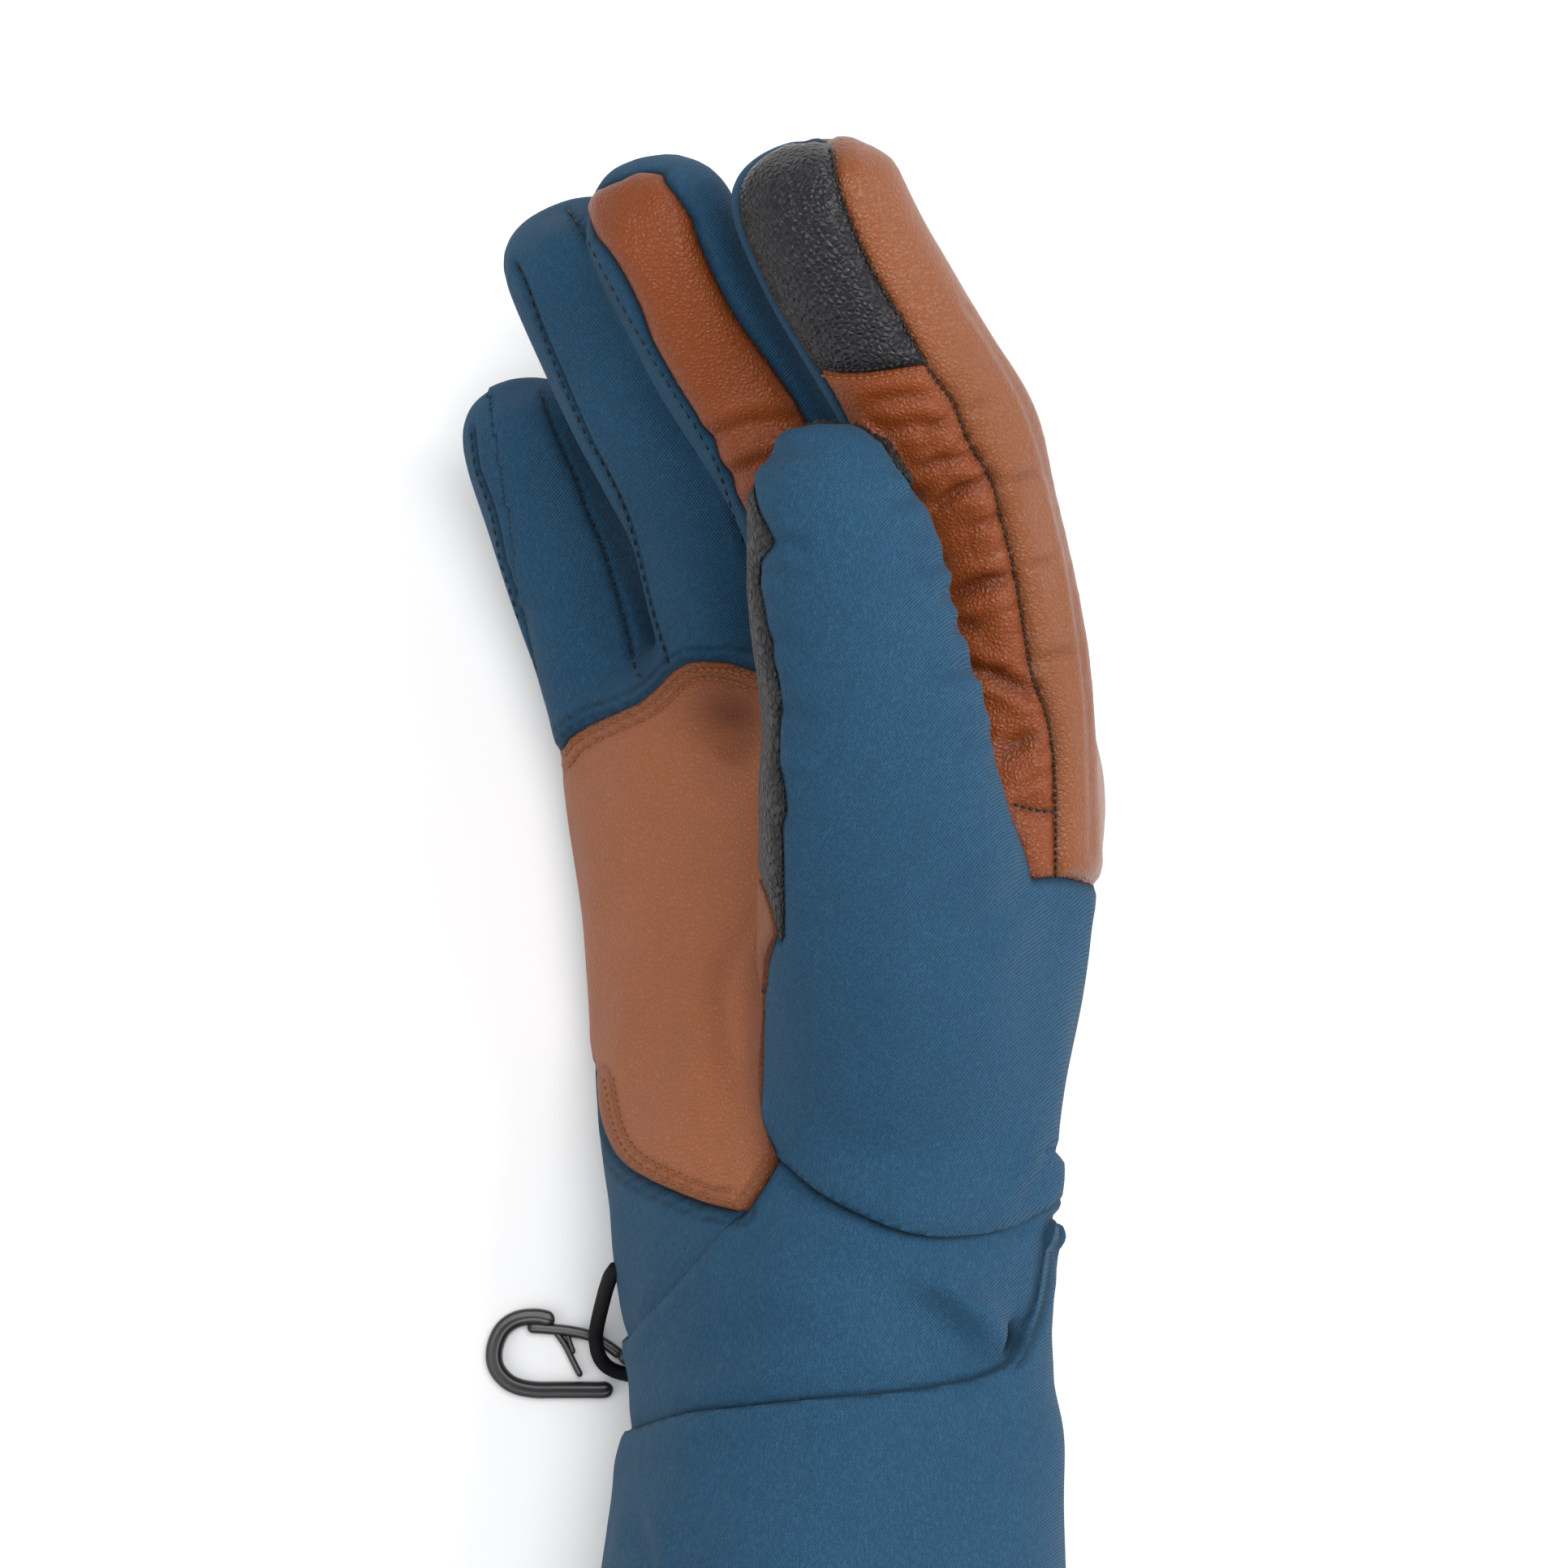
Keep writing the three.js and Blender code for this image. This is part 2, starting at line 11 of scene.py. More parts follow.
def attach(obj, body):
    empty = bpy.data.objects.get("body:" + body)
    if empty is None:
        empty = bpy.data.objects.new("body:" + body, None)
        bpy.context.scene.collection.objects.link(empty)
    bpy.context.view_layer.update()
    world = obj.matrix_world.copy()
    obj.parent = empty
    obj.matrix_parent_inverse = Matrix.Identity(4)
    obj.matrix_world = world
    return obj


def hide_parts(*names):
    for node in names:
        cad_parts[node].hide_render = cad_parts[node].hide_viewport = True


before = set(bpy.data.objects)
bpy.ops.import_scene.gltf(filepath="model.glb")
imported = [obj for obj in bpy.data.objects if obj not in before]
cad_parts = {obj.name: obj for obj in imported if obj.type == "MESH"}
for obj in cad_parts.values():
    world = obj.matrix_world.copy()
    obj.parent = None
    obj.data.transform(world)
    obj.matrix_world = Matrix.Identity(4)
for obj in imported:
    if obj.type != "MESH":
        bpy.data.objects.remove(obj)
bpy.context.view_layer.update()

# The tables below are in millimetres in the drawing's frame, whose origin is the middle of the view.
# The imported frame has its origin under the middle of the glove's box.
MM = 0.001
CENTRE = np.array([-0.25, -32.8, 0.0])

# Camera: straight down from this height, with the focal length in pixels of the 1932 pixel view
CAMERA_HEIGHT = 1600.0
FOCAL_PIXELS = 11587.0
VIEW_PIXELS = 1932.0
SENSOR = 36.0
EYE = np.array([0.0, 0.0, CAMERA_HEIGHT])

random = np.random.default_rng(7)


def packed(points):
    """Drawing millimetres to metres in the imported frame."""
    return (np.asarray(points, float) - CENTRE) * MM


def seen(pixels):
    """Places in the 1932 pixel view, as millimetres on the floor seen from the camera."""
    places = np.array(pixels, float)
    middle = VIEW_PIXELS / 2
    return np.stack([places[:, 0] - middle, middle - places[:, 1]], axis=1) * CAMERA_HEIGHT / FOCAL_PIXELS


def in_view(points):
    """Where points stand in the view, in the same millimetres on the floor."""
    return points[:, :2] * (CAMERA_HEIGHT / (CAMERA_HEIGHT - points[:, 2]))[:, None]


def smooth_step(low, high, value):
    share = np.clip((value - low) / (high - low), 0.0, 1.0)
    return share * share * (3.0 - 2.0 * share)


def bump(distance, width):
    return np.exp(-((distance / width) ** 2))


def catmull_rom(rows, at):
    """Smooth values between the rows of a table. The value at is a row number with its fraction."""
    rows = np.asarray(rows, float)
    padded_rows = np.vstack([2 * rows[0] - rows[1], rows, 2 * rows[-1] - rows[-2]])
    lower = np.clip(np.floor(at).astype(int), 0, len(rows) - 2)
    t = (at - lower)[:, None]
    a, b, c, d = (padded_rows[lower + k] for k in range(4))
    return 0.5 * (
        2 * b + (c - a) * t + (2 * a - 5 * b + 4 * c - d) * t ** 2 + (3 * b - 3 * c + d - a) * t ** 3
    )


def smooth_line(line, steps=4):
    return catmull_rom(line, np.linspace(0.0, len(line) - 1, (len(line) - 1) * steps + 1))


def resample(line, distances):
    """Points of a line at these distances along it."""
    lengths = np.concatenate([[0.0], np.cumsum(np.linalg.norm(np.diff(line, axis=0), axis=1))])
    return np.stack([np.interp(distances, lengths, line[:, k]) for k in range(line.shape[1])], axis=1)


def length_of(line):
    return np.linalg.norm(np.diff(line, axis=0), axis=1).sum()


def unit(vectors):
    return vectors / np.linalg.norm(vectors, axis=-1, keepdims=True)


def superellipse(angle, squareness):
    """Across and over on a rounded box of half size 1, which is a circle where squareness is 2."""
    power = 2.0 / squareness
    return (
        np.sign(np.cos(angle)) * np.abs(np.cos(angle)) ** power,
        np.sign(np.sin(angle)) * np.abs(np.sin(angle)) ** power,
    )


def corner_angles(sides):
    return np.linspace(0.0, 2 * np.pi, sides, endpoint=False)


def tube_rings(places, radius, side, up, sides):
    """Round rings about places. The radius may differ by place and by corner."""
    wide = (radius * np.cos(corner_angles(sides)))[:, :, None]
    high = (radius * np.sin(corner_angles(sides)))[:, :, None]
    return places[:, None, :] + wide * side[:, None, :] + high * up[:, None, :]


def add_object(name, content):
    thing = bpy.data.objects.new(name, content)
    bpy.context.collection.objects.link(thing)
    return thing


def new_object(name, points, faces):
    mesh = bpy.data.meshes.new(name)
    mesh.from_pydata([tuple(p) for p in points], [], faces)
    mesh.validate()
    mesh.update()
    return add_object(name, mesh)


def loft_faces(count, sides, close_start, close_end):
    faces = []
    for r in range(count - 1):
        for i in range(sides):
            j = (i + 1) % sides
            faces.append((r * sides + i, r * sides + j, (r + 1) * sides + j, (r + 1) * sides + i))
    if close_start:
        faces.append(tuple(reversed(range(sides))))
    if close_end:
        faces.append(tuple((count - 1) * sides + i for i in range(sides)))
    return faces


def face_outwards(thing, smooth):
    bm = bmesh.new()
    bm.from_mesh(thing.data)
    bmesh.ops.recalc_face_normals(bm, faces=bm.faces)
    for face in bm.faces:
        face.smooth = smooth
    bm.to_mesh(thing.data)
    bm.free()


# Camera

camera_data = bpy.data.cameras.new("camera")
camera_data.sensor_width = SENSOR
camera_data.lens = FOCAL_PIXELS * SENSOR / VIEW_PIXELS
camera_data.clip_end = 20.0
camera = add_object("camera", camera_data)
camera.location = packed(EYE)
bpy.context.scene.camera = camera

# Clip and its elastic cord

CLIP_BODY = [
    (-29.1, -102.65, 1.5), (-30.8, -103, 1.5), (-33, -103, 1.5), (-38, -103, 1.5), (-43, -102.9, 1.5),
    (-46.6, -101.8, 1.5), (-48.9, -99.2, 1.5), (-49.2, -96, 1.5), (-47.9, -92.8, 1.5),
    (-45.4, -91, 1.5), (-42, -90.6, 1.5), (-39, -91.3, 1.5),
]
CLIP_GATE = [
    (-43.6, -92.4, 1.4), (-40.5, -92.6, 1.4), (-36.5, -93, 1.4), (-33, -93.8, 1.4), (-30.4, -95.2, 1.4),
    (-27.6, -97.2, 1.4),
]
CLIP_END = [(-27.3, -96.2, 1.6), (-27, -97.8, 1.6), (-27.1, -98.6, 1.6)]
CLIP_TONGUE = [(-38.9, -93, 1.4), (-37.2, -95.4, 1.4), (-35.7, -98.4, 1.4), (-34.5, -100.7, 1.4)]
CLIP_STUB = [(-36.9, -93.5, 1.4), (-36.3, -95.2, 1.4), (-35.7, -96.8, 1.4)]
# Half width, half height, depth of the moulded groove and squareness of each bar
CLIP_BARS = [
    (CLIP_BODY, 1.45, 1.5, 0.5, 2.3), (CLIP_GATE, 0.95, 1.35, 0.3, 2.6), (CLIP_END, 1.1, 1.55, 0.0, 5.0),
    (CLIP_TONGUE, 0.55, 0.9, 0.0, 3.2), (CLIP_STUB, 0.42, 0.8, 0.0, 3.2),
]
CLIP_SIDES = 20
# Places of the rings in a bar's rounded end, as shares of its half width
ROUND_END = np.array([0.0, 0.04, 0.15, 0.32, 0.55, 0.8])
BAR_STEP = 0.5
BAR_REACH = 0.3


def bar_rings(line, half_width, half_height, groove, squareness):
    """Rings of a moulded bar along a line that lies flat, with rounded ends."""
    line = smooth_line(line, 10)
    total = length_of(line)
    end = half_width * ROUND_END
    middle = np.linspace(half_width, total - half_width, max(3, int(total / BAR_STEP)))
    along = np.concatenate([end, middle, total - end[::-1]])
    share = np.sqrt(1.0 - (1.0 - np.clip(np.minimum(along, total - along) / half_width, 0.02, 1.0)) ** 2)
    places = resample(line, along)
    ahead = resample(line, np.minimum(along + BAR_REACH, total))
    tangent = unit(ahead - resample(line, np.maximum(along - BAR_REACH, 0.0)))
    side = np.stack([-tangent[:, 1], tangent[:, 0], np.zeros(len(along))], axis=1)
    across, over = superellipse(corner_angles(CLIP_SIDES), squareness)
    rise = half_height * over - groove * bump(across - 0.25, 0.3) * (over > 0)
    reach = (share * half_width)[:, None, None] * across[None, :, None]
    rings = places[:, None, :] + reach * side[:, None, :]
    rings[:, :, 2] += (0.55 + 0.45 * share)[:, None] * rise[None, :]
    return rings


clip_points = []
clip_faces = []
for bar in CLIP_BARS:
    rings = bar_rings(*bar)
    start = sum(len(p) for p in clip_points)
    clip_points.append(rings.reshape(-1, 3))
    clip_faces += [tuple(start + i for i in f) for f in loft_faces(len(rings), CLIP_SIDES, True, True)]
clip = new_object("clip_moulding", packed(np.vstack(clip_points)), clip_faces)
face_outwards(clip, True)
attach(clip, "root")
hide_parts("clip")

CORD_DIAMETER = 2.6
CORD_ROUTE = [
    (-28.1, -81, 26.8), (-29, -82.3, 25.4), (-29.5, -83.7, 23.2), (-30, -85.2, 20.2),
    (-30.4, -86.7, 16.8), (-30.8, -88.2, 13.4), (-31.2, -89.8, 10.2), (-31.6, -91.6, 7.6),
    (-31.9, -93.4, 5.8), (-31.8, -95.2, 5), (-31.4, -97, 4.3), (-30.4, -98.6, 3.1), (-28.8, -99.7, 2.2),
    (-26.8, -100.3, 1.9), (-24.6, -100.7, 2.3), (-22.6, -101, 3.5), (-20.8, -101.2, 5.3),
    (-19.4, -101.2, 7.5),
]
CORD_SIDES = 14
CORD_RIB = 0.5
CORD_RIB_DEPTH = 0.11
CORD_STEP = 0.125

cord_line = smooth_line(CORD_ROUTE, 12)
cord_length = length_of(cord_line)
cord_along = np.linspace(0.0, cord_length, int(cord_length / CORD_STEP))
cord_places = resample(cord_line, cord_along)
cord_tangent = unit(np.gradient(cord_places, axis=0))
cord_side = unit(np.cross(cord_tangent, [0.3, 0.9, 0.3]))
cord_up = np.cross(cord_side, cord_tangent)
cord_turn = 0.5 * corner_angles(CORD_SIDES)[None, :]
cord_wave = np.abs(np.sin(np.pi * cord_along[:, None] / CORD_RIB + cord_turn))
cord_radius = CORD_DIAMETER / 2 * (1.0 - CORD_RIB_DEPTH * (1.0 - cord_wave))
cord_rings = tube_rings(cord_places, cord_radius, cord_side, cord_up, CORD_SIDES)
cord = new_object(
    "elastic_cord", packed(cord_rings.reshape(-1, 3)), loft_faces(len(cord_rings), CORD_SIDES, True, True)
)
face_outwards(cord, True)
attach(cord, "root")
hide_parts("clip_cord")

# Floor and light

FLOOR_HALF = 4.0
floor = new_object(
    "floor",
    [(-FLOOR_HALF, -FLOOR_HALF, 0), (FLOOR_HALF, -FLOOR_HALF, 0), (FLOOR_HALF, FLOOR_HALF, 0),
     (-FLOOR_HALF, FLOOR_HALF, 0)],
    [(0, 1, 2, 3)],
)


def soft_light(name, place, aim, size, watts):
    data = bpy.data.lights.new(name, "AREA")
    data.shape = "DISK"
    data.size = size
    data.energy = watts
    lamp = add_object(name, data)
    lamp.location = place
    lamp.rotation_euler = (Vector(aim) - Vector(place)).to_track_quat("-Z", "Y").to_euler()


AIM = (0.0, 0.0, 0.03)
soft_light("key", (1.3, 0.35, 1.3), AIM, 1.0, 24.0)
soft_light("fill", (-1.2, -0.5, 1.4), AIM, 1.6, 8.5)
soft_light("top", (0.25, 0.3, 2.2), AIM, 1.4, 30.0)

bpy.context.scene.view_settings.view_transform = "Standard"
world = bpy.data.worlds.new("studio")
bpy.context.scene.world = world
world.use_nodes = True
world.node_tree.nodes["Background"].inputs["Color"].default_value = (1.0, 1.0, 1.0, 1.0)
world.node_tree.nodes["Background"].inputs["Strength"].default_value = 0.5


# Main form

# Hand, wrist and cuff: oval sections across y. Wide runs from the little-finger edge to the thumb
# edge, thick from palm to back, and turn is the lean of the palm from upright, in degrees.
BODY_TOP = 23.0
CUFF_END = -170.0
# Columns: y x z wide thick turn
BODY = np.array([
    [BODY_TOP, 6, 37.9, 27.5, 8, 54],
    [20.5, 6, 36.2, 40.5, 15.5, 54],
    [16, 6.4, 34.2, 48, 21, 53],
    [9, 6.8, 32, 51, 24, 52.5],
    [-2, 8, 30.2, 51.6, 25.5, 52],
    [-20, 9.2, 28.4, 49.4, 26, 50.5],
    [-38, 8.8, 27.8, 47, 26.5, 49],
    [-53, 7, 28.6, 44.8, 26.5, 47],
    [-61, 7, 30.4, 43.8, 28, 43],
    [-69, 7.9, 31.4, 42.4, 31, 38],
    [-80, 8, 31.6, 39.2, 33, 33],
    [-91, 8.1, 31, 36.8, 33.2, 28],
    [-100, 8.6, 30.6, 35.6, 33.4, 22],
    [-107, 10, 30.8, 36.6, 34.4, 20],
    [-130, 8, 32.2, 39.6, 36.4, 20],
    [CUFF_END, 6.2, 35, 43.6, 39.4, 20],
])
SQUARENESS = 2.4
# The sections below the knuckles are the mean of places this far up and down
SECTION_BLUR = np.array([-4.0, -2.0, 0.0, 2.0, 4.0])

# Fingers and thumb, root to tip, the last row being the very tip
# Columns: x y z across deep
LIMBS = {
    "index": [
        [37.3, -15.2, 57, 14.5, 14], [36.8, 0.8, 60, 14.5, 14], [36, 11.4, 61.5, 14.5, 14],
        [34.7, 22, 63.5, 14.6, 14], [32.9, 32.5, 67, 14.6, 14], [30.6, 43, 71.5, 14.6, 14],
        [27.5, 53.4, 77, 14.5, 13.9], [22.1, 63.6, 82.5, 14.3, 13.8], [16, 73.9, 87, 14.2, 13.7],
        [9.6, 84.2, 90.5, 14, 13.5], [5, 94.4, 93, 13.6, 13.3], [2.7, 103.4, 94, 13, 13],
    ],
    "middle": [
        [16.7, -4.6, 44, 13, 13], [14.8, 11.5, 45, 13, 13], [12.3, 22.3, 46.5, 13, 13],
        [9.4, 32.9, 49, 13, 13], [5.9, 43.5, 53, 13, 13], [1.9, 52.7, 58, 13, 12.9],
        [-3.6, 61.8, 63, 13, 12.8], [-9.4, 70.9, 68, 12.9, 12.7], [-14.4, 79.9, 72.5, 12.8, 12.6],
        [-18.9, 88.9, 76.5, 12.6, 12.4], [-22.6, 100.5, 80, 12, 12],
    ],
    "ring": [
        [-0.1, -4.6, 28, 12.8, 13], [-4.6, 11.7, 28, 12.8, 13], [-7.9, 22.5, 29, 12.8, 12.9],
        [-10.6, 33.3, 32, 12.8, 12.8], [-13.5, 44, 36, 12.8, 12.8], [-18.8, 54.6, 42, 12.8, 12.6],
        [-24.8, 65.1, 48, 12.7, 12.5], [-29.5, 75.5, 54, 12.6, 12.4], [-33.4, 84.6, 59, 12.4, 12.2],
        [-36.6, 93.6, 63.2, 12, 12],
    ],
    "little": [
        [-22.7, -4.6, 16, 12, 12.5], [-27.2, 11.8, 13.5, 12, 12.3], [-31.2, 22.7, 13.5, 12, 12],
        [-35, 33.6, 15.5, 11.9, 11.9], [-38.6, 44.5, 19, 11.8, 11.8], [-42.2, 55.2, 24, 11.6, 11.5],
        [-44.5, 65.8, 30.6, 11, 11],
    ],
    "thumb": [
        [21.7, -58.2, 46, 24, 22], [20.5, -44.5, 56, 23.5, 21], [19.1, -28.3, 67, 22.5, 18.5],
        [17.6, -15.7, 75, 21.3, 16.5], [16, -4.5, 82, 20, 15], [14.4, 8.6, 88, 18.4, 14.3],
        [12, 21.6, 92.5, 16.8, 13.8], [10, 34.5, 95.5, 15.8, 13.4], [7.9, 44.9, 97, 13.4, 12.8],
        [6.1, 58.6, 98, 12, 12],
    ],
}
LIMB_NAMES = list(LIMBS)

# Padding that fills the hollow between the thumb's root and the back of the hand
PADS = {
    "thumb_root": [
        [25, -68, 42, 16, 16], [27.5, -56, 46.5, 18, 18.5], [30, -42, 51.5, 17.5, 19.5],
        [31.5, -28, 55, 17, 18.5], [33, -15, 57.5, 15, 15],
    ],
}

VOXEL = 1.0
BODY_STEP = 1.5
BODY_SIDES = 140
LIMB_SIDES = 64
LIMB_STEPS_PER_ROW = 8
DOME_ANGLES = np.arange(8.0, 85.0, 7.0)
MOUTH_SPARE = 6.0
FLOOR_ROUNDING = 2.2
FLOOR_SINK = 0.15
STATIONS_PER_ROW = 20
BLOCK = 20000
# A round tip has 2, a boxy one more
TIP_BLUNTNESS = {"index": 2.0, "middle": 2.6, "ring": 3.0, "little": 3.0, "thumb": 2.0}


def body_section(y):
    """Centre, edge direction, back direction and half sizes of the body at each y."""
    table = BODY[::-1]
    spread = SECTION_BLUR * smooth_step(16.0, 4.0, y)[:, None]
    columns = [np.interp(y[:, None] + spread, table[:, 0], table[:, k]).mean(axis=1) for k in range(1, 6)]
    x, z, wide, thick, turn = columns
    lean = np.radians(turn)
    zero = np.zeros_like(y)
    centre = np.stack([x, y, z], axis=1)
    edge = np.stack([np.sin(lean), zero, np.cos(lean)], axis=1)
    back = np.stack([np.cos(lean), zero, -np.sin(lean)], axis=1)
    return centre, edge, back, wide, thick


class Limb:
    """A finger's smooth centre line with its directions and half sizes."""

    def __init__(self, rows, bluntness=2.0):
        self.rows = np.array(rows, float)
        self.bluntness = bluntness
        self.last = len(rows) - 1
        self.place = np.linspace(0.0, self.last, self.last * STATIONS_PER_ROW + 1)
        self.centre, self.side, self.up, self.across, self.deep = self.station(self.place)
        self.tip_length = np.linalg.norm(self.rows[-1, :3] - self.rows[-2, :3])

    def station(self, place):
        inside = np.clip(place, 0.0, self.last)
        centre = catmull_rom(self.rows[:, :3], inside)
        step = 0.02
        ahead = catmull_rom(self.rows[:, :3], np.clip(inside + step, 0, self.last))
        behind = catmull_rom(self.rows[:, :3], np.clip(inside - step, 0, self.last))
        tangent = unit(ahead - behind)
        side = unit(np.cross(tangent, [0.0, 0.0, 1.0]))
        up = np.cross(side, tangent)
        rows = np.arange(len(self.rows))
        across = np.interp(inside, rows, self.rows[:, 3])
        deep = np.interp(inside, rows, self.rows[:, 4])
        return centre, side, up, across, deep

    def share(self, place):
        """Size of a ring as a share of the full size: the tip is a blunt dome."""
        beyond = np.clip(place - (self.last - 1), 0.0, 0.995)
        return (1.0 - beyond ** self.bluntness) ** (1.0 / self.bluntness)

    def rings(self):
        straight = np.linspace(0.0, self.last - 1, (self.last - 1) * LIMB_STEPS_PER_ROW + 1)
        place = np.concatenate([straight, self.last - 1 + np.sin(np.radians(DOME_ANGLES))])
        centre, side, up, across, deep = self.station(place)
        share = self.share(place)
        angle = corner_angles(LIMB_SIDES)
        wide = (across * share)[:, None, None] * np.sin(angle)[None, :, None]
        high = (deep * share)[:, None, None] * np.cos(angle)[None, :, None]
        return centre[:, None, :] + wide * side[:, None, :] + high * up[:, None, :]

    def locate(self, points):
        """Place along the limb, angle from the upper side, distance outside the surface and radius."""
        nearest = np.empty(len(points), int)
        lengths = (self.centre ** 2).sum(axis=1)
        for start in range(0, len(points), BLOCK):
            block = points[start:start + BLOCK]
            nearest[start:start + BLOCK] = np.argmin(lengths - 2.0 * block @ self.centre.T, axis=1)
        offset = points - self.centre[nearest]
        sideways = (offset * self.side[nearest]).sum(axis=1)
        upwards = (offset * self.up[nearest]).sum(axis=1)
        along = np.linalg.norm(offset, axis=1)
        share = self.share(self.place[nearest])
        across = self.across[nearest]
        deep = self.deep[nearest]
        reach = np.hypot(sideways / (across * share), upwards / (deep * share)) + 1e-6
        outside = along * (1.0 - 1.0 / reach)
        beyond_tip = nearest == len(self.centre) - 1
        outside = np.where(beyond_tip, along - across * share, outside)
        forwards = self.centre[1] - self.centre[0]
        behind = -(offset @ forwards) / np.linalg.norm(forwards)
        outside = np.where(nearest == 0, np.maximum(outside, behind), outside)
        return self.place[nearest], sideways, upwards, outside, across, deep


limbs = {name: Limb(rows, TIP_BLUNTNESS[name]) for name, rows in LIMBS.items()}
pads = {name: Limb(rows) for name, rows in PADS.items()}


def section_rings(y, inset, sides):
    """Rings of the body at each y, inset millimetres inside its surface."""
    centre, edge, back, wide, thick = body_section(y)
    across, over = superellipse(corner_angles(sides), SQUARENESS)
    return (
        centre[:, None, :]
        + (wide - inset)[:, None, None] * across[None, :, None] * edge[:, None, :]
        + (thick - inset)[:, None, None] * over[None, :, None] * back[:, None, :]
    )


def body_rings(low, high):
    y = np.linspace(high, low, int(round((high - low) / BODY_STEP)) + 1)
    return section_rings(y, 0.0, BODY_SIDES)


def union_surface():
    """One closed surface round the body, the limbs and the pads, as points and triangles."""
    parts = [body_rings(CUFF_END - MOUTH_SPARE, BODY_TOP)]
    parts += [limb.rings() for limb in [*limbs.values(), *pads.values()]]
    points = []
    faces = []
    for rings in parts:
        start = sum(len(p) for p in points)
        count, sides, _ = rings.shape
        points.append(rings.reshape(-1, 3))
        faces += [tuple(start + i for i in face) for face in loft_faces(count, sides, True, True)]
    raw = new_object("raw_form", np.vstack(points), faces)
    face_outwards(raw, False)
    remesh = raw.modifiers.new("remesh", "REMESH")
    remesh.mode = "VOXEL"
    remesh.voxel_size = VOXEL
    remeshed = raw.evaluated_get(bpy.context.evaluated_depsgraph_get())
    mesh = remeshed.to_mesh()
    mesh.calc_loop_triangles()
    place = np.empty(len(mesh.vertices) * 3)
    mesh.vertices.foreach_get("co", place)
    corners = np.empty(len(mesh.loop_triangles) * 3, int)
    mesh.loop_triangles.foreach_get("vertices", corners)
    remeshed.to_mesh_clear()
    bpy.data.objects.remove(raw, do_unlink=True)
    return place.reshape(-1, 3), corners.reshape(-1, 3)


def edges_of(triangles):
    pairs = np.vstack([triangles[:, [0, 1]], triangles[:, [1, 2]], triangles[:, [2, 0]]])
    return np.unique(np.sort(pairs, axis=1), axis=0)


def relax(points, edges, share, rounds):
    """Moves each point towards the middle of its neighbours by its own share."""
    degree = np.bincount(edges.ravel(), minlength=len(points))[:, None]
    for _ in range(rounds):
        total = np.stack([
            np.bincount(edges[:, 0], points[edges[:, 1], k], len(points))
            + np.bincount(edges[:, 1], points[edges[:, 0], k], len(points))
            for k in range(3)
        ], axis=1)
        points = points + share[:, None] * (total / degree - points)
    return points


def point_normals(points, triangles):
    a, b, c = (points[triangles[:, k]] for k in range(3))
    face = np.cross(b - a, c - a)
    total = np.stack([
        sum(np.bincount(triangles[:, corner], face[:, k], len(points)) for corner in range(3))
        for k in range(3)
    ], axis=1)
    return total / (np.linalg.norm(total, axis=1)[:, None] + 1e-12)


def body_distance(points):
    y = np.clip(points[:, 1], CUFF_END - MOUTH_SPARE, BODY_TOP)
    centre, edge, back, wide, thick = body_section(y)
    offset = points - centre
    offset[:, 1] = 0.0
    reach = (
        np.abs((offset * edge).sum(axis=1) / wide) ** SQUARENESS
        + np.abs((offset * back).sum(axis=1) / thick) ** SQUARENESS
    ) ** (1.0 / SQUARENESS) + 1e-6
    across = np.linalg.norm(offset, axis=1) * (1.0 - 1.0 / reach)
    beyond = points[:, 1] - BODY_TOP
    return np.where(beyond > 0, np.hypot(np.maximum(across, 0), beyond), across)


def zone(points, steps):
    """A share from 0 to 1: the product of smooth steps along x, y or z, from where to where."""
    share = np.ones(len(points))
    for axis, start, full in steps:
        share = share * smooth_step(start, full, points[:, axis])
    return share


def outside_all(points):
    """Where the points are on each limb, and their distances outside the body and each limb."""
    located = {name: limb.locate(points) for name, limb in limbs.items()}
    return located, np.stack([body_distance(points)] + [located[name][3] for name in LIMB_NAMES], axis=1)


# How far round a joint the form is smoothed, and how often, all over and there
JOINT_REACH = 6.0
EVEN_ROUNDS = 4
JOINT_ROUNDS = 24
# The thumb's root runs into the hand without a crease on its outer side
THUMB_ROOT_ZONE = [(1, -10.0, -24.0), (0, 18.0, 26.0), (1, -84.0, -70.0), (2, 30.0, 44.0)]
THUMB_ROOT_ROUNDS = 110
# The leather runs from the palm to the thumb without a crease
WEB_ZONE = [(1, 6.0, -8.0), (0, 12.0, 4.0), (2, 24.0, 34.0), (1, -62.0, -50.0)]
WEB_ROUNDS = 120

points, triangles = union_surface()
edges = edges_of(triangles)
located, outside = outside_all(points)
near_joint = bump(np.sort(np.abs(outside), axis=1)[:, 1], JOINT_REACH)
points = relax(points, edges, np.full(len(points), 0.5), EVEN_ROUNDS)
points = relax(points, edges, 0.5 * near_joint, JOINT_ROUNDS)
points = relax(points, edges, 0.5 * zone(points, THUMB_ROOT_ZONE), THUMB_ROOT_ROUNDS)
points = relax(points, edges, 0.5 * near_joint * zone(points, WEB_ZONE), WEB_ROUNDS)
# The form lies on the floor, flat with a rounded edge
rounded = 0.5 * (points[:, 2] + np.hypot(points[:, 2], FLOOR_ROUNDING))
points[:, 2] = np.maximum(rounded - FLOOR_SINK, 0.0)
normals = point_normals(points, triangles)


# Panels

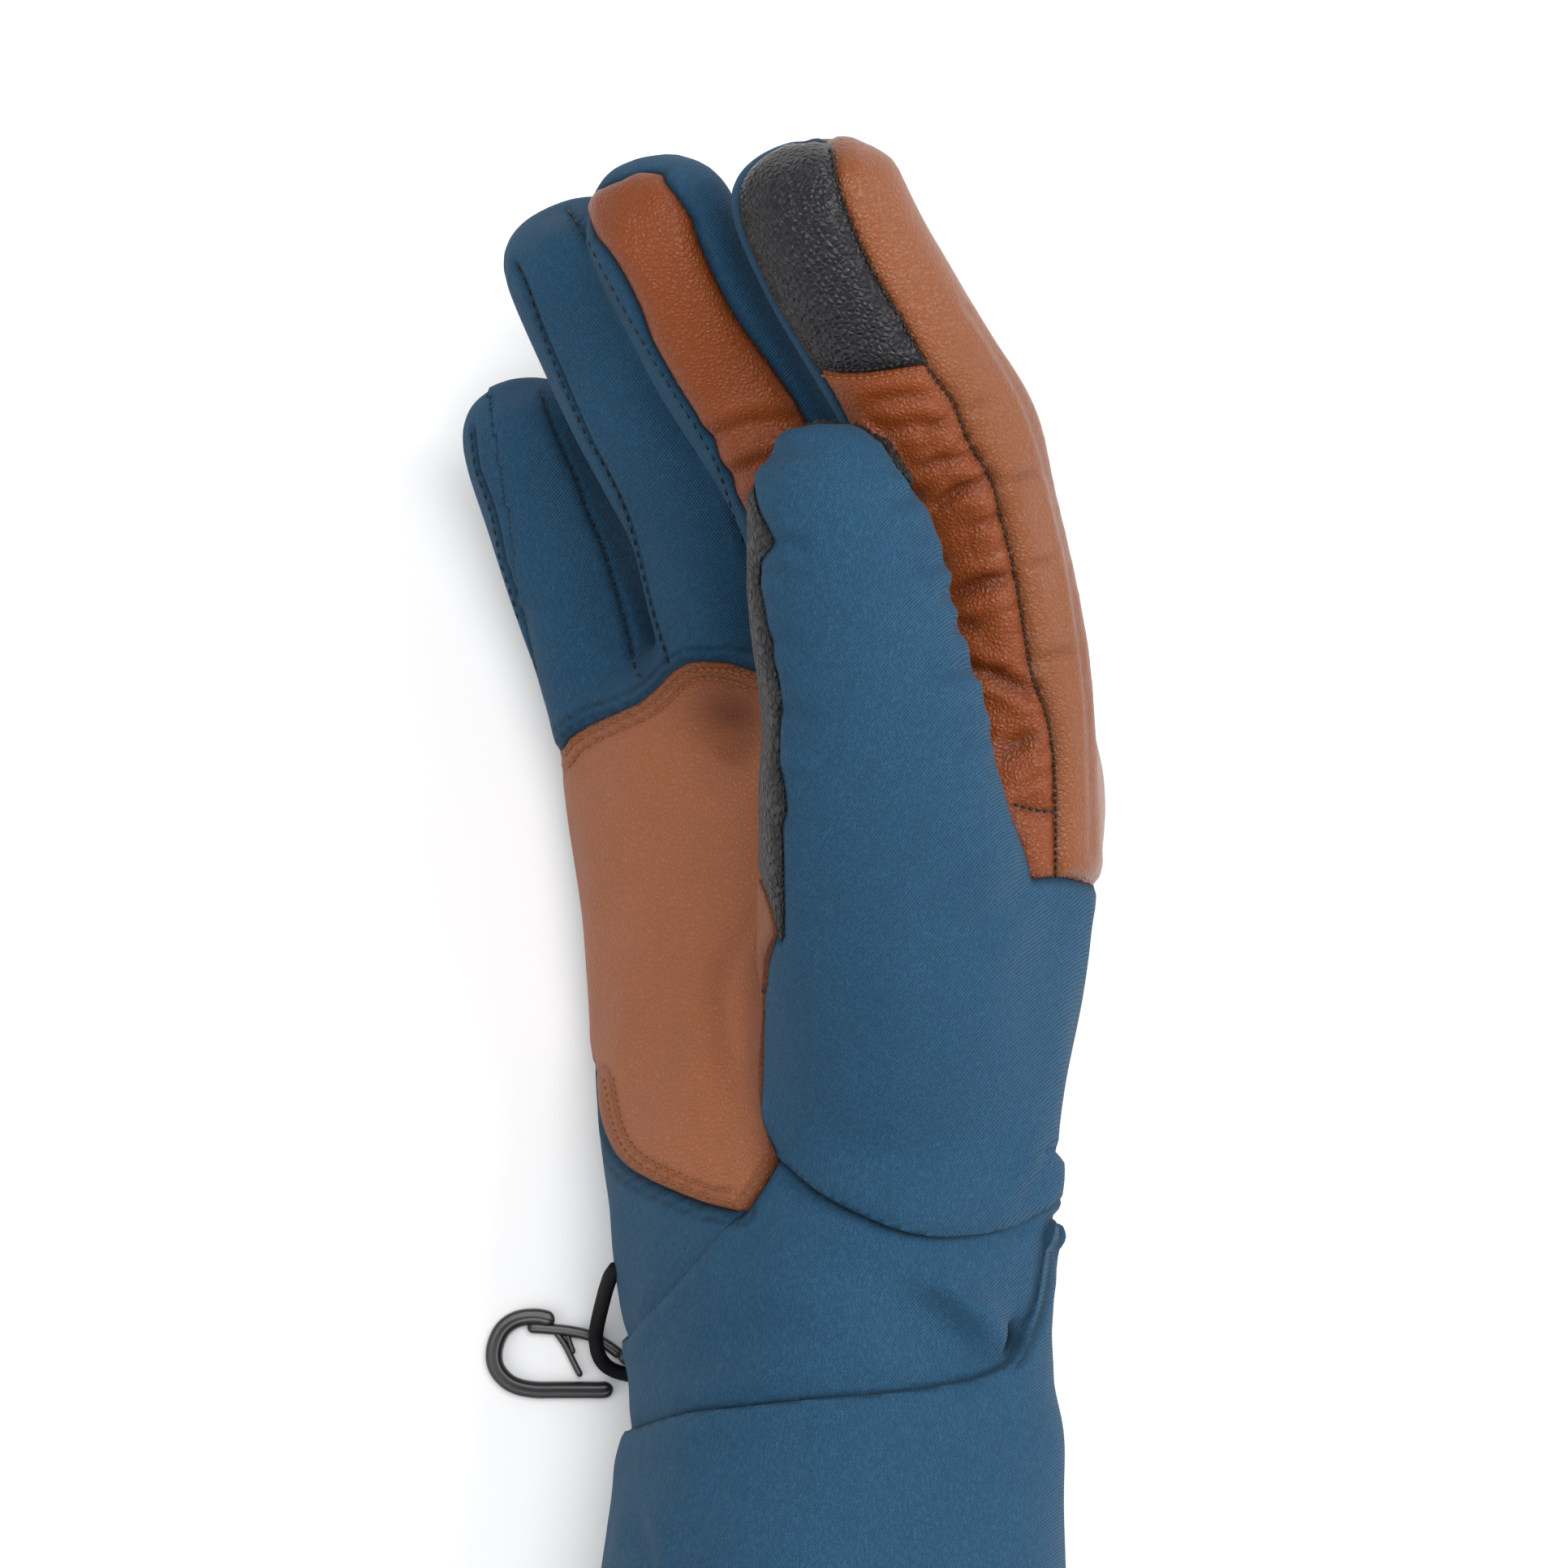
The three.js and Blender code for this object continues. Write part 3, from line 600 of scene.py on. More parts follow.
# Seams as the camera sees them, in pixels of the 1932 pixel view, from the hand to the fingertip
INDEX_SEAM = seen([
    (1303, 1085), (1303, 1000), (1300, 930), (1290, 880), (1272, 830), (1262, 770), (1250, 700),
    (1235, 640), (1222, 590), (1195, 545), (1175, 495), (1150, 462), (1140, 445), (1110, 390),
    (1075, 330), (1050, 275), (1033, 225), (1028, 195), (1020, 172),
])
MIDDLE_LEFT = seen([
    (960, 740), (922, 650), (908, 618), (892, 576), (868, 532), (840, 488), (816, 448), (800, 418),
    (788, 384), (768, 342), (748, 311), (732, 292), (725, 270), (723, 250), (722, 215),
])
MIDDLE_RIGHT = seen([
    (1060, 640), (1005, 515), (990, 478), (960, 424), (928, 381), (896, 336), (864, 286), (836, 241),
    (821, 221), (816, 205), (812, 190),
])
MIDDLE_TIP = seen([(715, 246), (728, 238), (752, 223), (784, 209), (802, 206), (820, 209)])
RING_LEFT = seen([
    (832, 832), (822, 812), (806, 760), (797, 726), (788, 690), (778, 654), (764, 615), (744, 575),
    (724, 540), (709, 510), (688, 462), (668, 410), (652, 360), (640, 332), (630, 315),
])
RING_RIGHT = seen([
    (924, 712), (914, 664), (900, 622), (884, 576), (860, 532), (832, 488), (804, 442), (776, 394),
    (748, 344), (724, 296), (708, 270), (694, 250),
])
LITTLE_LEFT = seen([
    (668, 860), (655, 822), (641, 770), (626, 720), (616, 690), (611, 662), (604, 630), (596, 606),
    (586, 578), (582, 550), (578, 518),
])
LITTLE_RIGHT = seen([
    (800, 834), (788, 834), (782, 822), (776, 790), (766, 750), (756, 714), (742, 670), (724, 630),
    (712, 594), (692, 550), (676, 510), (665, 475),
])
TIP_PATCH_FOOT = seen([
    (960, 430), (1000, 449), (1012, 457), (1040, 461), (1070, 460), (1100, 455), (1142, 447),
    (1200, 430),
])
TIP_PATCH_TOP = seen([(880, 250), (895, 228), (908, 210), (927, 194), (951, 181), (985, 174), (1030, 172)])
ROOT_SEAM = seen([(1150, 975), (1200, 981), (1240, 990), (1270, 998), (1303, 1003), (1340, 1006)])
LEATHER_END = seen([(1150, 1083), (1265, 1083), (1300, 1084), (1330, 1088), (1370, 1095)])
LEATHER_LAYER = seen([
    (1188, 375), (1212, 410), (1238, 455), (1262, 500), (1283, 550), (1299, 600), (1312, 660),
    (1322, 720), (1330, 790), (1336, 860), (1342, 930), (1346, 1000), (1345, 1060),
])
PATCH_TOP = seen([
    (680, 938), (690, 927), (703, 910), (730, 893), (760, 880), (790, 867), (812, 851), (830, 832),
    (850, 820), (872, 817), (900, 820), (930, 829),
])
PATCH_BESIDE_THUMB = seen([
    (982, 950), (975, 1100), (950, 1165), (944, 1200), (941, 1260), (940, 1310), (941, 1370),
    (950, 1440),
])
PALM_PATCH = np.vstack([
    seen([(640, 950)]), PATCH_TOP[1:], seen([(980, 845)]), PATCH_BESIDE_THUMB,
    seen([(925, 1530), (860, 1530), (780, 1490), (720, 1420), (690, 1340), (640, 1330)]),
])
PATCH_FOOT = seen([
    (736, 1330), (741, 1360), (748, 1390), (760, 1418), (778, 1438), (802, 1453), (830, 1466),
    (865, 1480), (905, 1489),
])
PATCH_LOW = 6.0
THUMB_HEM = seen([
    (948, 1418), (973, 1440), (1004, 1465), (1050, 1491), (1100, 1513), (1150, 1524), (1200, 1523),
    (1240, 1516), (1265, 1507), (1281, 1495), (1294, 1479), (1303, 1462), (1312, 1448), (1330, 1440),
    (1350, 1436),
])
WRAP_EDGE = seen([
    (965, 1385), (948, 1418), (905, 1488), (870, 1540), (835, 1582), (800, 1617), (780, 1638),
    (760, 1660),
])
CUFF_EDGE = seen([
    (785, 1760), (850, 1741), (900, 1735), (1000, 1724), (1100, 1716), (1150, 1709), (1200, 1700),
    (1222, 1692), (1241, 1681), (1255, 1667), (1266, 1652), (1277, 1630), (1284, 1600), (1287, 1570),
    (1290, 1545), (1292, 1522), (1295, 1508), (1303, 1500), (1320, 1498), (1360, 1496),
])
# On the side that the camera doesn't see, the cuff's edge runs straight across
CUFF_EDGE_BELOW = seen([(785, 1760), (1298, 1500)])
CUFF_LAYER_START = 1236
CUFF_LAYER_WIDE = 0.9
THUMB_EDGE = seen([
    (964, 1172), (964, 1120), (963, 1060), (962, 1020), (967, 1000), (966, 978), (962, 958), (957, 920),
    (955, 885), (958, 862), (956, 845), (948, 800), (938, 750), (932, 712), (936, 690), (948, 672),
    (946, 655), (936, 635), (930, 605), (936, 575), (953, 547), (972, 531), (992, 522), (1016, 518),
    (1040, 518), (1062, 524), (1080, 534), (1095, 551), (1108, 573), (1119, 592), (1136, 603),
    (1165, 608),
])
# Between these two places along y the leather goes on below the thumb, out of the camera's sight
UNDER_THUMB = (-52.0, 8.0)
UNDER_THUMB_ACROSS = (-8.0, 30.0)
UNDER_THUMB_LOW = 30.0
FACES_LEFT = 0.1
GRIP_FOOT = seen([(900, 1000), (932, 1062), (950, 1120), (964, 1172), (980, 1230)])

# Blue seams on the two small fingers, which are closed by a line of dark stitches
FINGER_SEAMS = {
    "ring_left": ("ring", RING_LEFT), "ring_right": ("ring", RING_RIGHT),
    "little_left": ("little", LITTLE_LEFT), "little_right": ("little", LITTLE_RIGHT),
}
# Sides that the camera doesn't see, as angles from a finger's upper side, positive to the right
INDEX_LEFT_ANGLE = -71.0
INDEX_SEAM_ANGLE = 60.0
INDEX_BACK_ANGLE = 170.0
GRIP_ANGLES = (-172.0, -68.0)
GRIP_TIP = 0.72
FAR = 80.0
# Seams are worked out up to this far from the finger that they lie on
NEAR = 3.0
# Where the index finger leans on the middle finger, its leather reaches a little further down
INDEX_LEAD = 2.5
LEATHER_REACH = 7.0
# Below this share of a finger's height a seam is no longer taken from the view
VIEW_SHARE = -0.2


def run_on(line):
    """The line with a long straight piece at both ends."""
    start = line[0] + FAR * unit(line[0] - line[1])
    end = line[-1] + FAR * unit(line[-1] - line[-2])
    return np.vstack([start, line, end])


def inside_polygon(places, outline):
    inside = np.zeros(len(places), bool)
    for (x1, y1), (x2, y2) in zip(outline, np.roll(outline, -1, axis=0)):
        crosses = (y1 > places[:, 1]) != (y2 > places[:, 1])
        with np.errstate(divide="ignore", invalid="ignore"):
            at = x1 + (places[:, 1] - y1) * (x2 - x1) / (y2 - y1)
        inside ^= crosses & (places[:, 0] < at)
    return inside


def line_distance(places, line):
    """Distance from a line, how far along it in millimetres, and 1 to its left or -1 to its right."""
    line = np.asarray(line, float)
    best = np.full(len(places), 1e9)
    along = np.zeros(len(places))
    across = np.zeros(len(places))
    done = 0.0
    for start, end in zip(line[:-1], line[1:]):
        run = end - start
        length = np.linalg.norm(run)
        over_x = places[:, 0] - start[0]
        over_y = places[:, 1] - start[1]
        share = np.clip((over_x * run[0] + over_y * run[1]) / length ** 2, 0.0, 1.0)
        distance = np.hypot(over_x - share * run[0], over_y - share * run[1])
        aside = (run[0] * over_y - run[1] * over_x) / length
        # At a corner both stretches are as near, and the one that the place is more beside tells the side
        closer = (distance < best - 1e-9) | ((distance < best + 1e-9) & (np.abs(aside) > np.abs(across)))
        best = np.where(closer, distance, best)
        along = np.where(closer, done + share * length, along)
        across = np.where(closer, aside, across)
        done += length
    return best, along, np.where(across < 0, -1.0, 1.0)


def left_of(places, line, where=None):
    """Signed distance from a line that runs on at its ends, positive to the left of its direction."""
    where = np.ones(len(places), bool) if where is None else where
    signed = np.full(len(places), FAR)
    distance, _, side = line_distance(places[where], run_on(line))
    signed[where] = distance * side
    return signed


def angle_distance(places, low, high):
    """Signed distance round a finger from the stretch between two angles, negative on it."""
    _, sideways, upwards, _, across, deep = places
    angle = np.degrees(np.arctan2(sideways / across, upwards / deep))
    away = np.abs((angle - 0.5 * (low + high) + 180.0) % 360.0 - 180.0) - 0.5 * (high - low)
    return np.radians(away) * np.hypot(sideways, upwards)


def beside(line, where=None):
    """Signed distance in the view from a smooth seam, positive to its left."""
    return left_of(view, smooth_line(line), where)


def thumb_grip_distance(places):
    """Signed distance from the grip, which wraps the thumb's palm side and its tip."""
    place, _, upwards, _, _, deep = places
    limb = limbs["thumb"]
    from_tip = (limb.last - GRIP_TIP - place) * limb.tip_length
    lower = np.minimum(angle_distance(places, *GRIP_ANGLES), from_tip)
    there = places[3] < 2 * NEAR
    grip = np.where(upwards > -0.25 * deep, -beside(THUMB_EDGE, there), lower)
    return np.where(there, np.maximum(grip, -left_of(view, GRIP_FOOT)), FAR)


def hidden_under_thumb():
    """The points on the palm and on the thumb's palm side that the thumb hides from the camera."""
    low, high = UNDER_THUMB
    left, right = UNDER_THUMB_ACROSS
    hidden = (points[:, 1] > low) & (points[:, 1] < high) & (normals[:, 0] < FACES_LEFT)
    hidden &= (points[:, 0] > left) & (points[:, 0] < right) & (points[:, 2] > UNDER_THUMB_LOW)
    tree = BVHTree.FromPolygons(points.tolist(), triangles.tolist(), all_triangles=True)
    for k in np.where(hidden)[0]:
        ray = points[k] - EYE
        length = np.linalg.norm(ray)
        _, _, _, reached = tree.ray_cast(Vector(EYE), Vector(ray / length))
        hidden[k] = reached is not None and reached < length - 1.0
    return hidden


view = in_view(points)
located, outside = outside_all(points)
fields = {}
for number, name in enumerate(LIMB_NAMES, start=1):
    others = outside.copy()
    others[:, number] = np.inf
    if name == "index":
        others[:, 1 + LIMB_NAMES.index("middle")] += INDEX_LEAD
    fields["on_" + name] = outside[:, number] - others.min(axis=1)
leather_zone = np.minimum(fields["on_index"], outside[:, 1] - LEATHER_REACH)
on_index = leather_zone < NEAR
fields["on_index"] = np.maximum(leather_zone, -beside(LEATHER_END, on_index))
fields["on_index"] = np.maximum(fields["on_index"], -fields["on_thumb"])
fields["mouth"] = points[:, 1] - CUFF_END
fields["wrist"] = left_of(view, np.vstack([smooth_line(PATCH_FOOT), smooth_line(THUMB_HEM)]))
fields["cuff"] = np.where(
    normals[:, 2] > 0, beside(CUFF_EDGE), left_of(view, CUFF_EDGE_BELOW)
)
fields["cuff_layer"] = fields["cuff"] + CUFF_LAYER_WIDE
fields["wrap"] = beside(WRAP_EDGE)
patch_outline = smooth_line(np.vstack([PALM_PATCH, PALM_PATCH[:1]]))
patch_edge, _, _ = line_distance(view, patch_outline)
patch_edge = np.where(inside_polygon(view, patch_outline), -patch_edge, patch_edge)
under_thumb = hidden_under_thumb()
low_end, high_end = UNDER_THUMB
patch_edge[under_thumb] = np.maximum(points[under_thumb, 1] - high_end, low_end - points[under_thumb, 1])
on_thumb_grip = np.minimum(-fields["on_thumb"], left_of(view, GRIP_FOOT))
body_centre, _, body_back, _, _ = body_section(np.clip(points[:, 1], CUFF_END, BODY_TOP))
on_the_back = ((points - body_centre) * body_back).sum(axis=1)
fields["patch"] = np.maximum.reduce([patch_edge, PATCH_LOW - points[:, 2], on_thumb_grip, on_the_back])
seam_side = beside(INDEX_SEAM, on_index)
on_upper_index = located["index"][2] > VIEW_SHARE * located["index"][5]
to_left = angle_distance(located["index"], INDEX_LEFT_ANGLE, INDEX_SEAM_ANGLE)
to_back = angle_distance(located["index"], INDEX_SEAM_ANGLE, INDEX_BACK_ANGLE)
fields["index_palm"] = np.maximum(-seam_side, to_left)
fields["index_side"] = np.where(on_upper_index, seam_side, to_back)
on_middle = fields["on_middle"] < NEAR
fields["middle_palm"] = np.maximum.reduce([
    beside(MIDDLE_LEFT, on_middle),
    -beside(MIDDLE_RIGHT, on_middle),
    beside(MIDDLE_TIP, on_middle),
    VIEW_SHARE * located["middle"][5] - located["middle"][2],
])
fields["middle_palm"][~on_middle] = FAR
for name, (limb_name, line) in FINGER_SEAMS.items():
    fields[name] = beside(line, fields["on_" + limb_name] < NEAR)
fields["thumb_grip"] = thumb_grip_distance(located["thumb"])
fields["tip_patch"] = np.maximum(
    -beside(TIP_PATCH_FOOT, on_index),
    beside(TIP_PATCH_TOP, on_index),
)
fields["root_seam"] = beside(ROOT_SEAM, on_index)

# Points that are nearer than this to a seam are taken to lie on it
SNAP = 0.06
FIELD_NAMES = list(fields)
# Columns of data: the place, the normal, and from column 6 on the fields
COLUMN = {name: 6 + k for k, name in enumerate(FIELD_NAMES)}
data = np.hstack([points, normals, np.stack([fields[name] for name in FIELD_NAMES], axis=1)])


def cut(data, triangles, name, *where):
    """Cuts triangles along the zero line of a field, on edges where the other fields aren't positive."""
    value = data[:, COLUMN[name]].copy()
    value[np.abs(value) < SNAP] = 0.0
    data[:, COLUMN[name]] = value
    edges = edges_of(triangles)
    crossing = value[edges[:, 0]] * value[edges[:, 1]] < 0
    for other, sign in where:
        crossing &= (sign * data[edges, COLUMN[other]] <= 1e-9).all(axis=1)
    edges = edges[crossing]
    if not len(edges):
        return data, triangles
    first, second = value[edges[:, 0]], value[edges[:, 1]]
    share = (first / (first - second))[:, None]
    fresh = data[edges[:, 0]] * (1 - share) + data[edges[:, 1]] * share
    fresh[:, COLUMN[name]] = 0.0
    key = edges[:, 0].astype(np.int64) * len(data) + edges[:, 1]
    order = np.argsort(key)
    key = key[order]

    def middle_of(a, b):
        wanted = np.minimum(a, b).astype(np.int64) * len(data) + np.maximum(a, b)
        found = np.searchsorted(key, wanted)
        found = np.minimum(found, len(key) - 1)
        return np.where(key[found] == wanted, len(data) + order[found], -1)

    a, b, c = triangles.T
    ab, bc, ca = middle_of(a, b), middle_of(b, c), middle_of(c, a)
    count = (ab >= 0).astype(int) + (bc >= 0) + (ca >= 0)
    kept = [triangles[count == 0]]
    one = np.where(count == 1)[0]
    for turn in range(3):
        rolled = np.roll(triangles, -turn, axis=1)
        cuts = np.roll(np.stack([ab, bc, ca], axis=1), -turn, axis=1)
        pick = one[cuts[one, 0] >= 0]
        p, q, r, m = rolled[pick, 0], rolled[pick, 1], rolled[pick, 2], cuts[pick, 0]
        kept += [np.stack([p, m, r], axis=1), np.stack([m, q, r], axis=1)]
        pick = np.where((count == 2) & (cuts[:, 1] < 0))[0]
        p, q, r = rolled[pick].T
        pq, rp = cuts[pick, 0], cuts[pick, 2]
        kept += [np.stack([p, pq, rp], axis=1), np.stack([pq, q, r], axis=1), np.stack([pq, r, rp], axis=1)]
    return np.vstack([data, fresh]), np.vstack(kept)


data, triangles = cut(data, triangles, "mouth")
for name in LIMB_NAMES:
    data, triangles = cut(data, triangles, "on_" + name)
data, triangles = cut(data, triangles, "wrist")
data, triangles = cut(data, triangles, "cuff")
data, triangles = cut(data, triangles, "cuff_layer", ("cuff", 1))
data, triangles = cut(data, triangles, "wrap", ("wrist", 1), ("cuff", -1))
data, triangles = cut(data, triangles, "patch", ("wrist", -1))
for name in ("index_palm", "index_side"):
    data, triangles = cut(data, triangles, name, ("on_index", 1))
data, triangles = cut(data, triangles, "tip_patch", ("on_index", 1), ("index_palm", 1))
data, triangles = cut(data, triangles, "root_seam", ("on_index", 1), ("index_palm", 1))
data, triangles = cut(data, triangles, "middle_palm", ("on_middle", 1), ("patch", -1))
for name, (limb_name, _) in FINGER_SEAMS.items():
    data, triangles = cut(data, triangles, name, ("on_" + limb_name, 1), ("patch", -1))
data, triangles = cut(data, triangles, "thumb_grip", ("on_thumb", 1), ("wrist", -1))
triangles = triangles[data[triangles, COLUMN["mouth"]].mean(axis=1) > 0]

PANELS = [
    "shell", "palm_patch", "index_palm", "index_root", "index_side", "index_tip_patch", "index_fourchette",
    "middle_palm", "thumb_grip", "wrist_palm", "wrist_wrap", "cuff",
]
PANEL = {name: k for k, name in enumerate(PANELS)}


def panel_of_triangles():
    mean = {name: data[triangles, COLUMN[name]].mean(axis=1) for name in FIELD_NAMES}
    panel = np.full(len(triangles), PANEL["shell"])

    def give(name, condition):
        panel[condition] = PANEL[name]

    on_index = mean["on_index"] < 0
    give("middle_palm", (mean["on_middle"] < 0) & (mean["middle_palm"] < 0))
    give("palm_patch", mean["patch"] < 0)
    give("index_fourchette", on_index)
    give("index_side", on_index & (mean["index_side"] < 0))
    give("index_palm", on_index & (mean["index_palm"] < 0))
    give("index_root", on_index & (mean["index_palm"] < 0) & (mean["root_seam"] < 0))
    give("index_tip_patch", on_index & (mean["index_palm"] < 0) & (mean["tip_patch"] < 0))
    give("thumb_grip", (mean["on_thumb"] < 0) & (mean["thumb_grip"] < 0))
    give("wrist_wrap", (mean["wrist"] < 0) & (mean["wrap"] > 0))
    give("wrist_palm", (mean["wrist"] < 0) & (mean["wrap"] < 0))
    give("cuff", mean["cuff"] < 0)
    return panel


panel = panel_of_triangles()


# Relief

# Blue panels between which no seam is pressed in: the cloth runs on, or an edge lies over the next panel
BLUE_PANELS = ("shell", "index_fourchette", "wrist_palm", "wrist_wrap", "cuff")
cloth = np.arange(len(PANELS))
for name in BLUE_PANELS:
    cloth[PANEL[name]] = PANEL["shell"]

# Depth of the seam groove, and height and distance of the cloth that swells beside it
GROOVE = {"shell": 0.6, "palm_patch": 0.2, "index_tip_patch": 0.5, "thumb_grip": 0.5}
PLAIN_GROOVE = 0.75
GROOVE_WIDTH = 0.95
SWELL = {"shell": 0.14, "palm_patch": 0.1, "thumb_grip": 0.2}
PLAIN_SWELL = 0.4
SWELL_AWAY = 3.4
SWELL_WIDTH = 2.2


def field(name):
    return data[:, COLUMN[name]]


def points_between_panels(group):
    low = np.full(len(data), 99)
    high = np.full(len(data), -1)
    for corner in range(3):
        np.minimum.at(low, triangles[:, corner], group)
        np.maximum.at(high, triangles[:, corner], group)
    return np.where((low < high) & (high >= 0))[0]


def distance_from(chosen):
    tree = KDTree(len(chosen))
    for k in chosen:
        tree.insert(data[k, :3], int(k))
    tree.balance()
    return np.array([tree.find(p)[2] for p in data[:, :3]])


from_seam = distance_from(points_between_panels(cloth[panel]))

plan = data[:, :2]
view = in_view(data[:, :3])
facing_up = smooth_step(-0.25, 0.15, data[:, 5])
relief = np.zeros(len(data))
# Painted shade: the colour darkens in the seams' grooves, and below also under edges, in the pocket and in
# the stitch channels
painted_seam_shade = bump(from_seam, 0.75)

for name, (limb_name, line) in FINGER_SEAMS.items():
    smooth = smooth_line(line)
    distance, along, _ = line_distance(view, smooth)
    distance = distance / np.clip(data[:, 5], 0.3, 1.0)
    there = (field("on_" + limb_name) < 0.5) & (field("patch") > -0.5)
    fade = smooth_step(0.0, 4.0, along) * smooth_step(0.0, 2.0, length_of(smooth) - along)
    fade = fade * there * smooth_step(0.0, 0.25, data[:, 5])
    relief += fade * (0.25 * bump(distance - 1.7, 1.0) - 0.55 * bump(distance, 0.8))
    # Painted shade along the seam's groove
    painted_seam_shade = np.maximum(painted_seam_shade, 0.8 * fade * bump(distance, 0.5))

# Folds and dents on the side that faces up: from x and y to x and y, depth and width
FOLDS = [
    (23.3, 44.2, 33.8, 49.1, 1.3, 1.0), (20.7, 50.4, 31.7, 52.5, 0.8, 0.9),
    (29.1, 40.9, 35.7, 42.9, 0.6, 1.0), (26.2, 29.7, 36.1, 32.9, 1.4, 1.5),
    (27.5, 25.1, 31.5, 25.5, 1.0, 1.3), (29.1, 18.8, 40.4, 14.3, 1.5, 1.2),
    (34.1, 3.4, 40.9, 8.0, 1.1, 2.0), (13.3, 60.9, 25.5, 62.0, 0.5, 1.0),
    (14.3, 56.1, 26.8, 57.4, 0.6, 1.0), (35.4, 48.2, 42.6, 50.1, 0.6, 0.8),
    (41.3, 19.9, 47.2, 21.8, 0.6, 0.9), (39.0, 35.0, 44.0, 36.3, 0.5, 0.9),
    (29.5, 60.0, 32.8, 61.3, 0.5, 0.8), (-12.7, 55.6, 2.5, 58.9, 1.0, 1.5),
    (-9.4, 49.6, 4.5, 53.6, 0.8, 1.3), (-10.0, 4.0, -4.0, 12.5, 1.5, 5.0),
    (-2.1, 38.3, 4.0, 37.2, 0.9, 1.2), (-4.4, 33.5, 1.0, 33.0, 0.4, 1.2),
    (-2.7, 22.8, 2.5, 22.0, 0.6, 1.4), (-1.4, 11.1, 3.5, 10.6, 0.7, 1.4),
    (-0.5, 0.8, 4.5, 0.4, 0.5, 1.5), (23.0, 46.9, 16.0, 45.2, 0.9, 1.3),
    (26.0, 35.9, 19.0, 34.3, 1.0, 1.3), (29.8, 19.2, 22.0, 17.6, 1.0, 1.3),
    (34.2, 8.2, 27.0, 6.2, 0.9, 1.3), (39.7, -15.5, 30.3, -24.0, 1.0, 2.6),
    (25.0, -80.5, 36.4, -93.4, -1.9, 2.4), (17.0, -85.0, 31.0, -97.0, 1.2, 4.0),
    (37.8, -80.0, 39.6, -91.0, 0.8, 3.2), (-25.0, -121.0, -21.5, -130.0, 0.9, 1.6),
    (43.0, -61.0, 38.0, -69.0, 0.8, 1.4), (-19.0, -98.0, 2.0, -88.0, 0.7, 3.0),
    (2.0, -77.0, 22.0, -84.0, 0.6, 4.0),
]
# Middle and half size of the painted shade in the palm's hollow beside the thumb
PALM_HOLLOW = seen([(900, 876)])[0]
PALM_HOLLOW_SIZE = np.array([6.6, 5.6])
# Middle and depth of the pocket, and its stretch: the rows turn it and give one over its half sizes
POCKET = seen([(1254, 1651)])[0]
POCKET_DEPTH = 2.6
POCKET_TURN = np.array([[0.8, 0.6], [-0.6, 0.8]]) @ np.diag([1 / 1.6, 1 / 2.8])
PALM_CREASE = [(-3.5, -19.3), (-10.8, -31.3), (-10.8, -40.7), (-8.8, -48.7), (-4.1, -56.7)]
# Short gathers on the palm side of the index seam: count, where they start and end along it, as shares
GATHERS = (15, 0.1, 0.62)


def press(places, line, depth, width, ends=0.25):
    distance, along, _ = line_distance(places, line)
    along = along / length_of(np.asarray(line, float))
    fade = np.clip(4.0 * along * (1.0 - along), 0.0, 1.0) ** 0.5
    hollow = bump(distance, width) - 0.4 * bump(distance - 2.1 * width, width)
    return -depth * hollow * (ends + (1.0 - ends) * fade) * facing_up * (distance < 5 * width)


folds = np.zeros(len(data))
for x0, y0, x1, y1, depth, width in FOLDS:
    bow = 0.06 * np.array([y0 - y1, x1 - x0])
    middle = np.array([(x0 + x1) / 2, (y0 + y1) / 2]) + bow
    folds += press(plan, smooth_line([(x0, y0), tuple(middle), (x1, y1)]), depth, width)
folds += press(plan, smooth_line(PALM_CREASE), 0.55, 2.2)
folds += press(view, smooth_line(LEATHER_LAYER), 0.5, 0.6) * (field("on_index") < 0)

gather_count, gather_first, gather_last = GATHERS
index_line = smooth_line(INDEX_SEAM)
index_length = length_of(index_line)
on_index_palm = (field("on_index") < 0) & (field("index_palm") < 0.5)
for share in np.linspace(gather_first, gather_last, gather_count):
    at = share * index_length + random.uniform(-0.8, 0.8)
    start, ahead = resample(index_line, np.array([at, at + 1.0]))
    run = unit(ahead - start)
    aside = np.array([-run[1], run[0]]) + run * random.uniform(-0.45, 0.15)
    end = start + aside * random.uniform(3.0, 8.0)
    gather = press(view, np.stack([start, end]), random.uniform(0.2, 0.5), random.uniform(0.5, 0.8), 0.5)
    folds += gather * on_index_palm

# Long soft waves of padded cloth
WAVES = 14
WAVE_HEIGHT = 0.09
for _ in range(WAVES):
    direction = unit(random.normal(size=3))
    length = random.uniform(14.0, 40.0)
    phase = random.uniform(0.0, 2 * np.pi)
    relief += WAVE_HEIGHT * np.sin(2 * np.pi * (data[:, :3] @ direction) / length + phase)
relief += folds

# Painted shade on the leather: darker in its folds, in the palm's hollow and where it turns up to the thumb
on_patch = field("patch") < 0.3
painted_crease_shade = np.clip(-folds / 1.5, 0.0, 1.0) * (on_patch | (field("on_index") < 0.2))
painted_crease_shade[on_patch] *= 0.6
from_hollow = np.linalg.norm((view - PALM_HOLLOW) / PALM_HOLLOW_SIZE, axis=1)
beside_thumb = line_distance(view, smooth_line(PATCH_BESIDE_THUMB))[0]
for shadow in (
    bump(from_hollow, 1.0), 0.45 * smooth_step(0.5, -1.5, field("on_thumb")),
    0.6 * bump(beside_thumb, 2.6),
):
    painted_crease_shade = np.maximum(painted_crease_shade, shadow * on_patch)

# The pocket where the wrist's cloth goes in under the cuff's edge: pressed in, and darkened with painted
# shade
from_pocket = np.linalg.norm((view - POCKET) @ POCKET_TURN, axis=1)
pocket = bump(from_pocket, 1.0) * (field("cuff") > -0.3) * facing_up
relief -= POCKET_DEPTH * pocket
painted_seam_shade = np.maximum(painted_seam_shade, 2.0 * pocket)
# The shadow lines under the edges of cuff and hand
for below in (field("cuff"), -field("wrist")):
    painted_seam_shade = np.maximum(painted_seam_shade, 0.75 * bump(below - 0.2, 0.5) * (below > -0.1))
